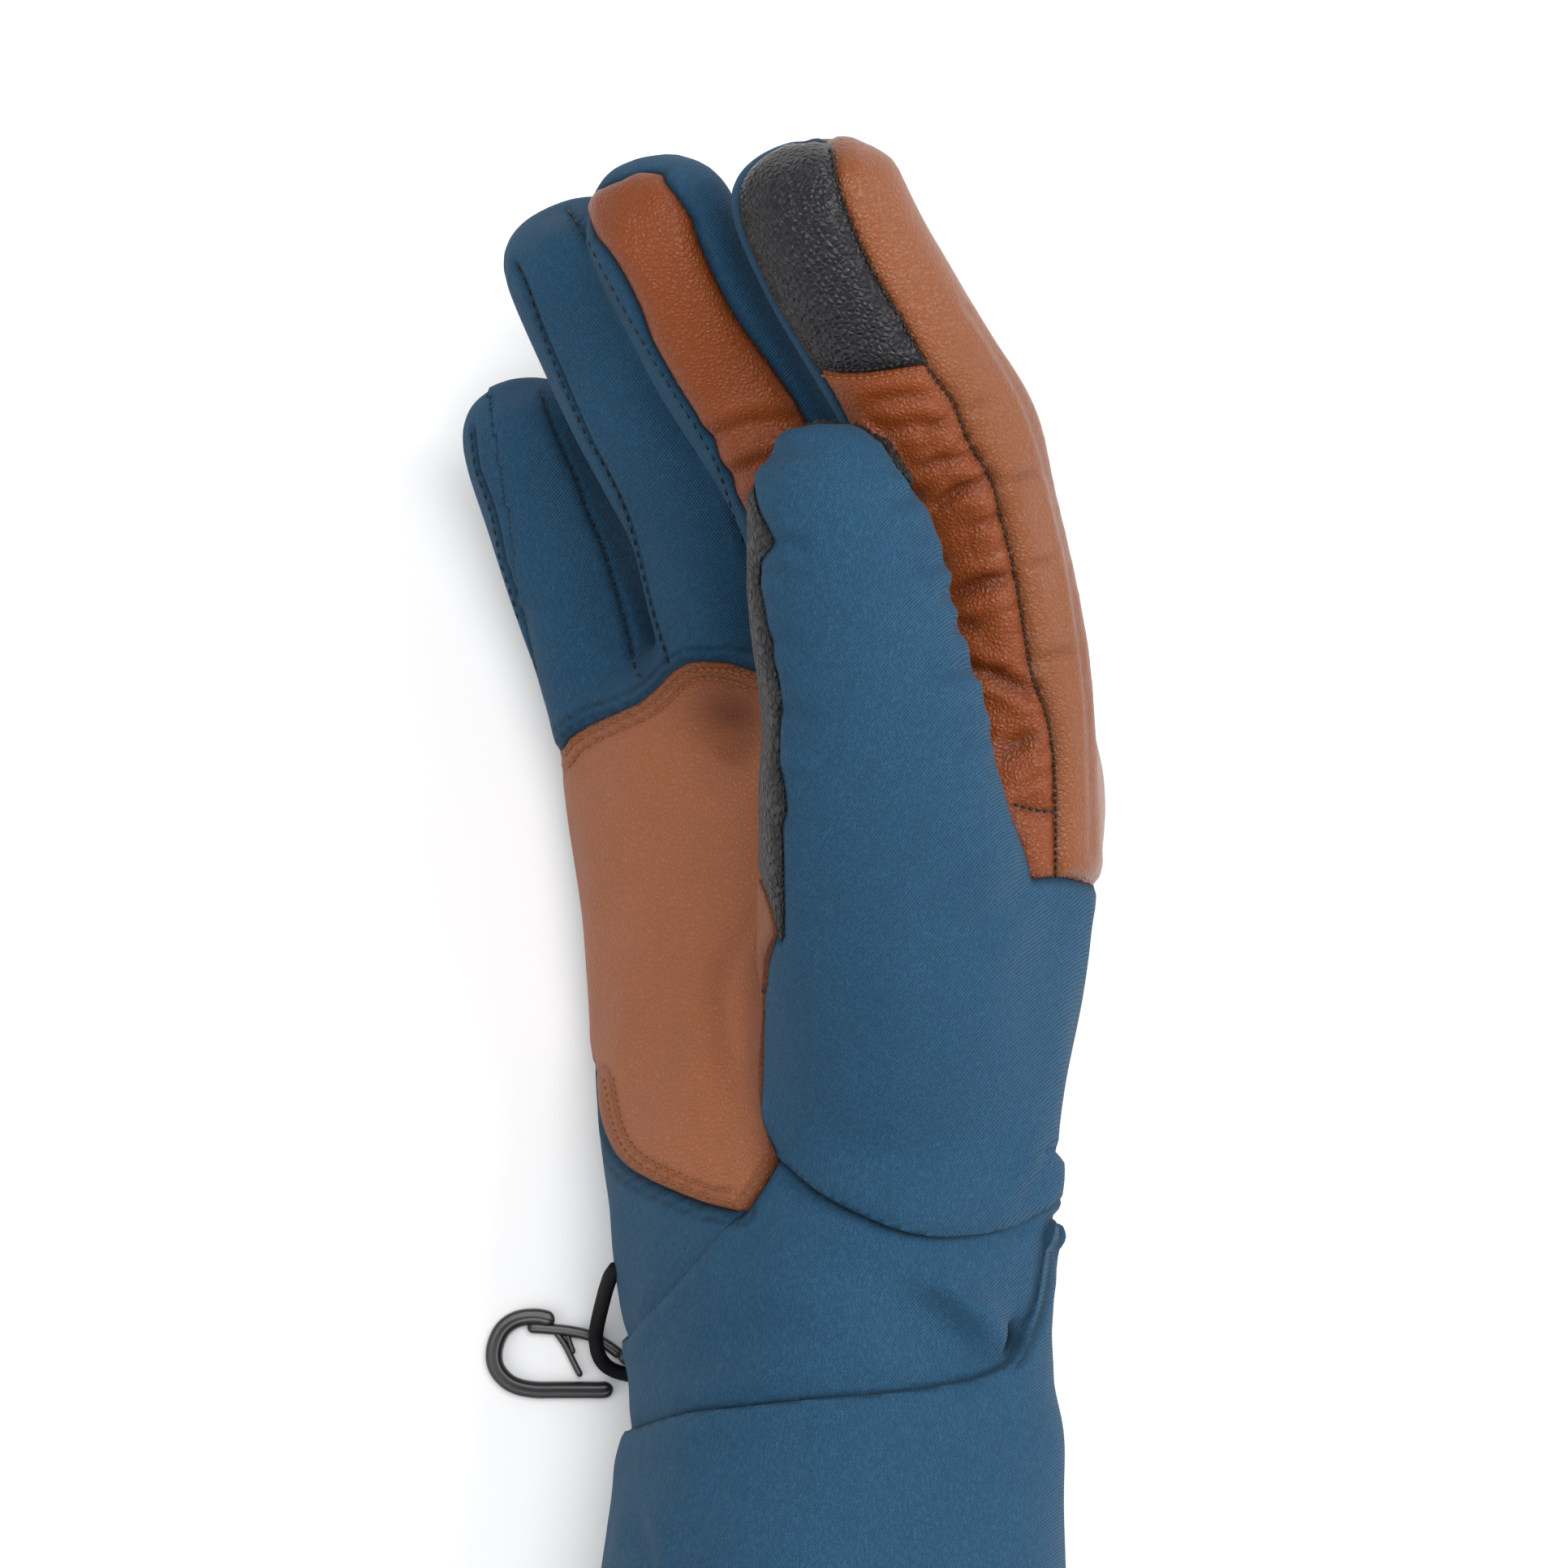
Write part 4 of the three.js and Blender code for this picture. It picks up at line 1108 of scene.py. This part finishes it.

# The patch's two rows of stitches lie in shallow channels, darkened with painted shade
STITCH_ROWS = (1.1, 2.7)
patch_top = smooth_line(PATCH_TOP)
patch_foot = smooth_line(PATCH_FOOT)
from_patch_line = np.minimum(line_distance(view, patch_top)[0], line_distance(view, patch_foot)[0])
channels = sum(bump(from_patch_line - row, 0.45) for row in STITCH_ROWS)
painted_seam_shade = np.maximum(painted_seam_shade, 0.8 * channels)


def right_of(first, last):
    """Goes from 0 to 1 between two columns of pixels in the view."""
    return smooth_step(*seen([(first, 0), (last, 0)])[:, 0], view[:, 0])


def below_row(first, last):
    """Goes from 0 to 1 between two rows of pixels in the view."""
    return smooth_step(*seen([(0, first), (0, last)])[:, 1], view[:, 1])


# The cuff's edge has a second layer on its outer side, with a line of painted shade along its edge
right_of_pocket = right_of(CUFF_LAYER_START, CUFF_LAYER_START + 20)
hem_layer = bump(field("cuff") + CUFF_LAYER_WIDE, 0.3) * right_of_pocket
painted_seam_shade = np.maximum(painted_seam_shade, 0.8 * hem_layer)

# How far each panel lies above the main form, and how deep its edge is turned in
LIFT = {
    "palm_patch": 0.55, "index_tip_patch": 0.35, "thumb_grip": 0.3, "wrist_palm": -0.5, "wrist_wrap": -0.2,
    "cuff": 0.5,
}
TURN_IN = {"shell": 3.4, "cuff": 3.4, "palm_patch": 3.4, "index_tip_patch": 1.0, "thumb_grip": 1.2}
PLAIN_TURN_IN = 1.4

from_wrist = np.abs(field("wrist"))
from_cuff = np.abs(field("cuff"))
from_wrap = np.abs(field("wrap"))
# On the outer side the wrist stands proud of the hand's edge, and elsewhere it lies under it
outer_side = right_of(1262, 1300)
hem_side = 1.0 - outer_side

# The roll of cloth on the outer side of the wrist, with a sharp fold above and below it
roll = outer_side * below_row(1417, 1434) * (1.0 - below_row(1484, 1499))
roll_fold = outer_side * (below_row(1408, 1416) - below_row(1417, 1421))
cuff_lip = outer_side * below_row(1499, 1510) * (1.0 - below_row(1524, 1544))
EDGE_FORM = {
    "shell": (
        hem_side * (1.2 * bump(from_wrist - 5.5, 4.5) - 0.7 * bump(from_wrist, 1.3))
        + 1.3 * roll - 0.7 * roll_fold
    ),
    "wrist_wrap": (
        0.5 * bump(from_wrap - 1.5, 2.0) + roll
        - hem_side * (1.4 * bump(from_wrist, 9.0) + bump(from_wrist, 2.5) + 0.8 * bump(from_cuff, 2.5))
        + outer_side * (0.5 - 0.4 * bump(from_wrist, 0.8) - 0.5 * bump(from_cuff, 1.2))
    ),
    "wrist_palm": -0.6 * bump(from_wrap, 2.0) - 0.3 * bump(from_cuff, 2.5),
    "cuff": (
        0.5 * bump(from_cuff - 4.0, 3.0) - 0.35 * bump(from_cuff, 0.7) + 1.2 * cuff_lip
        - 0.7 * right_of_pocket * bump(from_cuff - CUFF_LAYER_WIDE, 0.4)
        - 0.5 * outer_side * bump(from_cuff, 0.9)
    ),
    "palm_patch": -0.3 * channels,
}

skins = {}


def build_panel(name, members, nodes):
    chosen = triangles[np.isin(panel, [PANEL[m] for m in members])]
    used, corners = np.unique(chosen, return_inverse=True)
    corners = corners.reshape(-1, 3)
    key_name = members[0]
    seam = from_seam[used]
    rise = relief[used] + LIFT.get(key_name, 0.0)
    rise += SWELL.get(key_name, PLAIN_SWELL) * bump(seam - SWELL_AWAY, SWELL_WIDTH)
    rise -= GROOVE.get(key_name, PLAIN_GROOVE) * bump(seam, GROOVE_WIDTH)
    if key_name in EDGE_FORM:
        rise += EDGE_FORM[key_name][used]
    skin = data[used, :3] + rise[:, None] * data[used, 3:6]
    skin[:, 2] = np.maximum(skin[:, 2], 0.0)
    skins[name] = (skin, corners)
    directed = np.vstack([corners[:, [0, 1]], corners[:, [1, 2]], corners[:, [2, 0]]])
    key = directed[:, 0].astype(np.int64) * len(used) + directed[:, 1]
    back = directed[:, 1].astype(np.int64) * len(used) + directed[:, 0]
    rim = directed[~np.isin(key, back)]
    rim_points, rim_corners = np.unique(rim, return_inverse=True)
    rim_corners = rim_corners.reshape(-1, 2)
    turn_in = TURN_IN.get(key_name, PLAIN_TURN_IN)
    inner = skin[rim_points] - turn_in * data[used, 3:6][rim_points]
    inner[:, 2] = np.maximum(inner[:, 2], 0.0)
    first = rim_corners[:, 0] + len(used)
    second = rim_corners[:, 1] + len(used)
    skirt = np.vstack([
        np.stack([rim[:, 1], rim[:, 0], first], axis=1),
        np.stack([rim[:, 1], first, second], axis=1),
    ])
    mesh = bpy.data.meshes.new(name)
    everything = packed(np.vstack([skin, inner]))
    faces = np.vstack([corners, skirt]).astype(np.int32)
    mesh.vertices.add(len(everything))
    mesh.vertices.foreach_set("co", everything.ravel())
    mesh.loops.add(faces.size)
    mesh.loops.foreach_set("vertex_index", faces.ravel())
    mesh.polygons.add(len(faces))
    mesh.polygons.foreach_set("loop_start", np.arange(0, faces.size, 3, dtype=np.int32))
    mesh.update(calc_edges=True)
    # These attributes carry the painted shade of the seams and of the creases to the materials
    for attribute, values in (("seam", painted_seam_shade), ("painted_crease_shade", painted_crease_shade)):
        spread = np.concatenate([values[used], values[used][rim_points]])
        mesh.attributes.new(attribute, "FLOAT", "POINT").data.foreach_set("value", spread)
    mesh.validate()
    mesh.polygons.foreach_set("use_smooth", np.ones(len(mesh.polygons), bool))
    mesh.update()
    piece = add_object(name, mesh)
    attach(piece, "root")
    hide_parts(*nodes)
    return piece


# The panels that each piece is made of, and the solids that it stands for
PANEL_PIECES = {
    "hand_cloth": (
        ["shell", "index_fourchette"],
        ["hand_back", "hand_front", "thumb_shell", "index_fourchette", "middle_shell", "ring_shell",
         "ring_palm", "little_shell", "little_palm"],
    ),
    "palm_leather": (["palm_patch"], ["palm_patch"]),
    "index_side_leather": (["index_side"], ["index_side"]),
    "index_tip_leather": (["index_tip_patch"], ["index_tip_patch"]),
    "index_palm_leather": (["index_palm", "index_root"], ["index_palm", "index_root_palm"]),
    "middle_leather": (["middle_palm"], ["middle_palm"]),
    "thumb_grip_cover": (["thumb_grip"], ["thumb_grip"]),
    "wrist_palm_cloth": (["wrist_palm"], ["wrist_palm"]),
    "wrist_wrap_cloth": (["wrist_wrap"], ["wrist_wrap"]),
    "cuff_cloth": (["cuff"], ["cuff"]),
}
pieces = {}
for name, (members, nodes) in PANEL_PIECES.items():
    pieces[name] = build_panel(name, members, nodes)

# Lining inside the cuff and the hand
LINING_END = -12.0
LINING_STEP = 3.0
LINING_SIDES = 96


def lining_rings():
    y = np.arange(CUFF_END + 0.6, LINING_END, LINING_STEP)
    inset = 2.6 + 4.4 * smooth_step(-165.0, -120.0, y)
    inset += 10.0 * smooth_step(LINING_END - 12.0, LINING_END, y)
    rings = section_rings(y, inset, LINING_SIDES)
    angle = corner_angles(LINING_SIDES)
    ripple = 0.35 * np.sin(9 * angle)[None, :] * np.sin(y / 7.0)[:, None]
    ripple = ripple + 0.2 * np.sin(17 * angle)[None, :]
    rings += ripple[:, :, None] * (rings - body_section(y)[0][:, None, :]) / 30.0
    lowest = 0.6 + 3.8 * smooth_step(-169.0, -158.0, y)
    rings[:, :, 2] = np.maximum(rings[:, :, 2], lowest[:, None])
    return rings


rings = lining_rings()
lining = new_object(
    "lining", packed(rings.reshape(-1, 3)), loft_faces(len(rings), LINING_SIDES, False, True)
)
face_outwards(lining, True)
lining.data.flip_normals()
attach(lining, "root")
pieces["lining"] = lining

# Stitches

# Length, spacing and half thickness of the stitches
LEATHER_STITCH = (0.95, 1.25, 0.23)
SEAM_STITCH = (1.5, 2.1, 0.19)
STITCH_SIDES = 6
STITCH_SHARES = np.array([-1.0, -0.62, 0.0, 0.62, 1.0])
STITCH_SINK = np.array([-0.2, 0.08, 0.16, 0.08, -0.2])
STITCH_GIRTH = np.array([0.35, 0.9, 1.0, 0.9, 0.35])

skin_points = np.vstack([skin for skin, _ in skins.values()])
skin_starts = np.cumsum([0] + [len(skin) for skin, _ in skins.values()])
skin_faces = np.vstack([corners + start for (_, corners), start in zip(skins.values(), skin_starts)])
skin_tree = BVHTree.FromPolygons(skin_points.tolist(), skin_faces.tolist(), all_triangles=True)


def on_skin(place):
    """The point and normal of the glove's skin that the camera sees at this place."""
    hit, normal, _, _ = skin_tree.ray_cast(Vector(EYE), Vector((place[0], place[1], -CAMERA_HEIGHT)))
    if hit is None:
        return None, None
    return np.array(hit), np.array(normal)


def sew(thread, line, inset, kind, first=0.0, last=0.0):
    """Adds a row of stitches to a thread, inset millimetres to the left of a line in the view."""
    length, spacing, half = kind
    line = smooth_line(line)
    run = unit(np.gradient(line, axis=0))
    line = line + inset * np.stack([-run[:, 1], run[:, 0]], axis=1)
    total = length_of(line)
    for middle in np.arange(first + length / 2, total - last - length / 2, spacing):
        hits = [on_skin(p) for p in resample(line, middle + STITCH_SHARES * length / 2)]
        if any(hit is None for hit, _ in hits):
            continue
        places = np.array([hit for hit, _ in hits])
        if np.linalg.norm(places[-1] - places[0]) > 2.5 * length:
            continue
        normal = unit(np.array([n for _, n in hits]).mean(axis=0))
        side = unit(np.cross(unit(places[-1] - places[0]), normal))
        start = sum(len(p) for p in thread["points"])
        places = places + STITCH_SINK[:, None] * normal
        girth = half * STITCH_GIRTH[:, None]
        rings = tube_rings(places, girth, side[None, :], normal[None, :], STITCH_SIDES)
        thread["points"].append(rings.reshape(-1, 3))
        faces = loft_faces(len(rings), STITCH_SIDES, True, True)
        thread["faces"] += [tuple(start + i for i in f) for f in faces]


tan_thread = {"points": [], "faces": []}
dark_thread = {"points": [], "faces": []}
for row in STITCH_ROWS:
    sew(tan_thread, PATCH_TOP, -row, LEATHER_STITCH, 1.0, 0.0)
    sew(tan_thread, PATCH_FOOT, row, LEATHER_STITCH, 0.0, 0.6)
sew(tan_thread, TIP_PATCH_FOOT[2:7], -0.7, LEATHER_STITCH)
sew(dark_thread, TIP_PATCH_FOOT[2:7], 0.8, LEATHER_STITCH)
sew(dark_thread, INDEX_SEAM, 0.25, LEATHER_STITCH, 0.5, 1.0)
sew(dark_thread, ROOT_SEAM[2:5], 0.3, LEATHER_STITCH)
sew(dark_thread, LITTLE_RIGHT, 0.0, SEAM_STITCH, 1.0, 0.5)
sew(dark_thread, LITTLE_LEFT, 0.0, SEAM_STITCH, 14.0, 1.0)
sew(dark_thread, RING_LEFT, 0.0, SEAM_STITCH, 2.0, 2.0)
sew(dark_thread, RING_RIGHT, 0.0, SEAM_STITCH, 6.0, 1.0)
for name, thread in (("tan_stitches", tan_thread), ("dark_stitches", dark_thread)):
    pieces[name] = new_object(name, packed(np.vstack(thread["points"])), thread["faces"])
    face_outwards(pieces[name], True)
    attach(pieces[name], "root")


# Materials


class Nodes:
    """Shader nodes of one material."""

    def __init__(self, name):
        self.material = bpy.data.materials.new(name)
        self.material.use_nodes = True
        self.tree = self.material.node_tree
        self.shader = self.tree.nodes["Principled BSDF"]

    def add(self, kind, inputs=None, **settings):
        node = self.tree.nodes.new(kind)
        for key, value in settings.items():
            setattr(node, key, value)
        for key, value in (inputs or {}).items():
            if isinstance(value, bpy.types.NodeSocket):
                self.tree.links.new(value, node.inputs[key])
            else:
                node.inputs[key].default_value = value
        return node

    def place(self, scale=1.0, turn=(0.0, 0.0, 0.0), stretch=(1.0, 1.0, 1.0)):
        coordinates = self.add("ShaderNodeTexCoord").outputs["Object"]
        sizes = tuple(scale * s for s in stretch)
        inputs = {"Vector": coordinates, "Rotation": turn, "Scale": sizes}
        return self.add("ShaderNodeMapping", inputs).outputs[0]

    def painted(self, name):
        return self.add("ShaderNodeAttribute", attribute_name=name).outputs["Fac"]

    def noise(self, vector, scale, detail=2.0, roughness=0.5):
        inputs = {"Vector": vector, "Scale": scale, "Detail": detail, "Roughness": roughness}
        return self.add("ShaderNodeTexNoise", inputs).outputs["Fac"]

    def warped(self, vector, scale, amount):
        """The place moved aside by a noise, by up to half the amount in metres."""
        noise = self.add("ShaderNodeTexNoise", {"Vector": vector, "Scale": scale, "Detail": 2.0})
        bent = self.add("ShaderNodeMix", {0: amount}, data_type="VECTOR")
        self.tree.links.new(vector, bent.inputs[4])
        self.tree.links.new(noise.outputs["Color"], bent.inputs[5])
        return bent.outputs[1]

    def ramp(self, value, low, high, from_value=0.0, to_value=1.0):
        keys = ("Value", "From Min", "From Max", "To Min", "To Max")
        inputs = dict(zip(keys, (value, low, high, from_value, to_value)))
        return self.add("ShaderNodeMapRange", inputs).outputs["Result"]

    def math(self, operation, a, b):
        return self.add("ShaderNodeMath", {0: a, 1: b}, operation=operation).outputs[0]

    def mix(self, share, a, b):
        node = self.add("ShaderNodeMix", data_type="RGBA")
        for index, value in ((0, share), (6, a), (7, b)):
            if isinstance(value, bpy.types.NodeSocket):
                self.tree.links.new(value, node.inputs[index])
            else:
                node.inputs[index].default_value = value
        return node.outputs[2]

    def bump(self, height, distance, strength=1.0, normal=None):
        inputs = {"Height": height, "Distance": distance, "Strength": strength}
        if normal is not None:
            inputs["Normal"] = normal
        return self.add("ShaderNodeBump", inputs).outputs[0]

    def finish(self, colour, roughness, normal=None, **constants):
        for key, value in (("Base Color", colour), ("Roughness", roughness), ("Normal", normal)):
            if isinstance(value, bpy.types.NodeSocket):
                self.tree.links.new(value, self.shader.inputs[key])
            elif value is not None:
                self.shader.inputs[key].default_value = value
        for key, value in constants.items():
            self.shader.inputs[key.replace("_", " ")].default_value = value
        return self.material


def colour(red, green, blue):
    """Colour as the eye names it, 0 to 255, to the linear values of a shader."""
    def linear(value):
        value /= 255.0
        return value / 12.92 if value <= 0.04045 else ((value + 0.055) / 1.055) ** 2.4
    return (linear(red), linear(green), linear(blue), 1.0)


def shade(base, factor):
    return (base[0] * factor, base[1] * factor, base[2] * factor, 1.0)


BLUE = colour(36, 70, 95)
TAN = colour(130, 61, 19)
SIDE_TAN = colour(132, 73, 37)
PALE_TAN = colour(156, 94, 62)
# Painted shade colours for the leather's creases and hollows
PAINTED_SHADE_TAN = colour(72, 28, 9)
PAINTED_SHADE_BLACK = colour(12, 11, 13)
BLACK_LEATHER = colour(30, 28, 31)
GREY_GRIP = colour(40, 39, 42)
PLASTIC = colour(27, 27, 29)
ELASTIC = colour(12, 12, 14)
FLEECE = colour(22, 23, 26)
TAN_THREAD = colour(132, 70, 22)
DARK_THREAD = colour(12, 13, 17)

# Turns of the twill's diagonal, in radians
TWILL_TURN = (0.15, 0.1, 0.72)


def softshell():
    n = Nodes("softshell")
    spot = n.place()
    twill_place = n.warped(n.place(turn=TWILL_TURN), 300.0, 0.00012)
    twill_inputs = {"Vector": twill_place, "Scale": 800.0, "Distortion": 0.6, "Detail": 1.0}
    twill = n.add("ShaderNodeTexWave", twill_inputs)
    yarn = n.noise(n.place(turn=TWILL_TURN, stretch=(1.0, 0.35, 1.0)), 3000.0, 2.0, 0.6)
    soft = n.noise(spot, 30.0, 3.0)
    patchy = n.noise(spot, 420.0, 3.0, 0.6)
    tone = n.mix(n.ramp(twill.outputs["Fac"], 0.1, 0.9), shade(BLUE, 0.62), shade(BLUE, 1.28))
    tone = n.mix(n.ramp(yarn, 0.42, 0.72, 0.0, 0.6), tone, shade(BLUE, 1.75))
    tone = n.mix(n.ramp(patchy, 0.4, 0.75, 0.0, 0.25), tone, shade(BLUE, 0.7))
    tone = n.mix(n.ramp(soft, 0.35, 0.65, 0.0, 0.2), tone, shade(BLUE, 0.82))
    # Painted shade in the seams, under edges and in the pocket
    tone = n.mix(n.math("MULTIPLY", n.painted("seam"), 0.7), tone, shade(BLUE, 0.15))
    normal = n.bump(twill.outputs["Fac"], 0.00012, 0.9)
    normal = n.bump(yarn, 0.0001, 0.6, normal)
    return n.finish(tone, 0.78, normal, Sheen_Weight=0.03, Sheen_Roughness=0.45, Specular_IOR_Level=0.1)


def leather(name, base, deep, grain, depth, roughness, dark=0.72, gloss=0.3):
    """Grained leather with so many pores to a metre, whose creases and hollows are painted in the deep
    colour as shade.
    """
    n = Nodes(name)
    spot = n.place()
    bent = n.warped(spot, grain * 0.5, 0.0008)
    cells = n.add("ShaderNodeTexVoronoi", {"Vector": bent, "Scale": grain}, feature="DISTANCE_TO_EDGE")
    pores = n.ramp(cells.outputs["Distance"], 0.0, 0.4)
    fine = n.noise(spot, grain * 2.5, 3.0, 0.6)
    soft = n.noise(spot, 24.0, 4.0)
    tone = n.mix(n.ramp(pores, 0.0, 1.0, 0.45, 0.0), base, shade(base, 0.45))
    tone = n.mix(n.ramp(soft, 0.35, 0.7, 0.0, 0.5), tone, shade(base, dark))
    tone = n.mix(n.ramp(fine, 0.42, 0.75, 0.0, 0.2), tone, shade(base, 1.4))
    # Painted shade in creases and hollows
    tone = n.mix(n.math("MULTIPLY", n.painted("painted_crease_shade"), 0.75), tone, deep)
    # Painted shade in the seams and the stitch channels
    tone = n.mix(n.math("MULTIPLY", n.painted("seam"), 0.6), tone, shade(base, 0.25))
    height = n.math("ADD", pores, n.math("MULTIPLY", fine, 0.5))
    rough = n.ramp(soft, 0.3, 0.7, roughness - 0.06, roughness + 0.08)
    return n.finish(tone, rough, n.bump(height, depth, 0.9), Specular_IOR_Level=gloss)


def grip_material():
    n = Nodes("grey_grip")
    spot = n.warped(n.place(stretch=(1.0, 0.55, 1.0)), 500.0, 0.0006)
    cells = n.add("ShaderNodeTexVoronoi", {"Vector": spot, "Scale": 980.0}, feature="DISTANCE_TO_EDGE")
    pad = n.ramp(cells.outputs["Distance"], 0.02, 0.3)
    fine = n.noise(spot, 3000.0, 2.0)
    # Painted shade and light: the pebbles' valleys are near black and their tops lighter
    tone = n.mix(pad, shade(GREY_GRIP, 0.08), shade(GREY_GRIP, 1.25))
    tone = n.mix(n.ramp(fine, 0.4, 0.7, 0.0, 0.4), tone, shade(GREY_GRIP, 1.7))
    # Painted shade in the seams
    tone = n.mix(n.math("MULTIPLY", n.painted("seam"), 0.7), tone, shade(GREY_GRIP, 0.25))
    return n.finish(tone, 0.5, n.bump(pad, 0.0006, 1.0), Specular_IOR_Level=0.4)


def plain_material(name, base, roughness, grain, spread, depth, **constants):
    """A finish with a fine grain: moulded plastic, thread, elastic or fleece."""
    n = Nodes(name)
    spot = n.place()
    fine = n.noise(spot, grain, 3.0, 0.6)
    soft = n.noise(spot, 90.0, 2.0)
    tone = n.mix(n.ramp(fine, 0.35, 0.7), shade(base, 1.0 - spread), shade(base, 1.0 + spread))
    rough = n.ramp(soft, 0.3, 0.7, roughness - 0.05, roughness + 0.05)
    return n.finish(tone, rough, n.bump(fine, depth, 0.6), **constants)


SOFTSHELL = softshell()
TAN_LEATHER = leather("tan_leather", TAN, PAINTED_SHADE_TAN, 1250.0, 0.00015, 0.38)
SIDE_LEATHER = leather("side_leather", SIDE_TAN, PAINTED_SHADE_TAN, 1250.0, 0.00014, 0.38)
PALM_LEATHER = leather("palm_leather", PALE_TAN, PAINTED_SHADE_TAN, 1200.0, 0.00018, 0.5, 0.6, 0.16)
BLACK_PEBBLE = leather("black_pebble", BLACK_LEATHER, PAINTED_SHADE_BLACK, 920.0, 0.00026, 0.34)
GRIP = grip_material()

CLOTH_PIECES = ("hand_cloth", "wrist_palm_cloth", "wrist_wrap_cloth", "cuff_cloth")
DRESS = {
    **{name: (SOFTSHELL, "softshell") for name in CLOTH_PIECES},
    "palm_leather": (PALM_LEATHER, "tan_leather"), "index_palm_leather": (TAN_LEATHER, "tan_leather"),
    "index_side_leather": (SIDE_LEATHER, "tan_leather"), "middle_leather": (TAN_LEATHER, "tan_leather"),
    "index_tip_leather": (BLACK_PEBBLE, "black_pebble"), "thumb_grip_cover": (GRIP, "grey_grip"),
    "lining": (plain_material("lining_fleece", FLEECE, 0.95, 1500.0, 0.4, 0.0004), "black_elastic"),
}
for name, (material, slot) in DRESS.items():
    pieces[name].data.materials.append(material)

tan_thread_finish = plain_material("tan_thread", TAN_THREAD, 0.6, 4000.0, 0.3, 0.00005)
dark_thread_finish = plain_material("dark_thread", DARK_THREAD, 0.6, 4000.0, 0.3, 0.00005)
pieces["tan_stitches"].data.materials.append(tan_thread_finish)
pieces["dark_stitches"].data.materials.append(dark_thread_finish)
moulded_plastic = plain_material(
    "moulded_plastic", PLASTIC, 0.38, 900.0, 0.12, 0.00003, Specular_IOR_Level=0.6
)
elastic_braid = plain_material("elastic_braid", ELASTIC, 0.7, 2600.0, 0.35, 0.0001, Specular_IOR_Level=0.2)
clip.data.materials.append(moulded_plastic)
cord.data.materials.append(elastic_braid)

floor_nodes = Nodes("floor")
floor_nodes.finish((0.9, 0.9, 0.9, 1.0), 0.9)
floor.data.materials.append(floor_nodes.material)
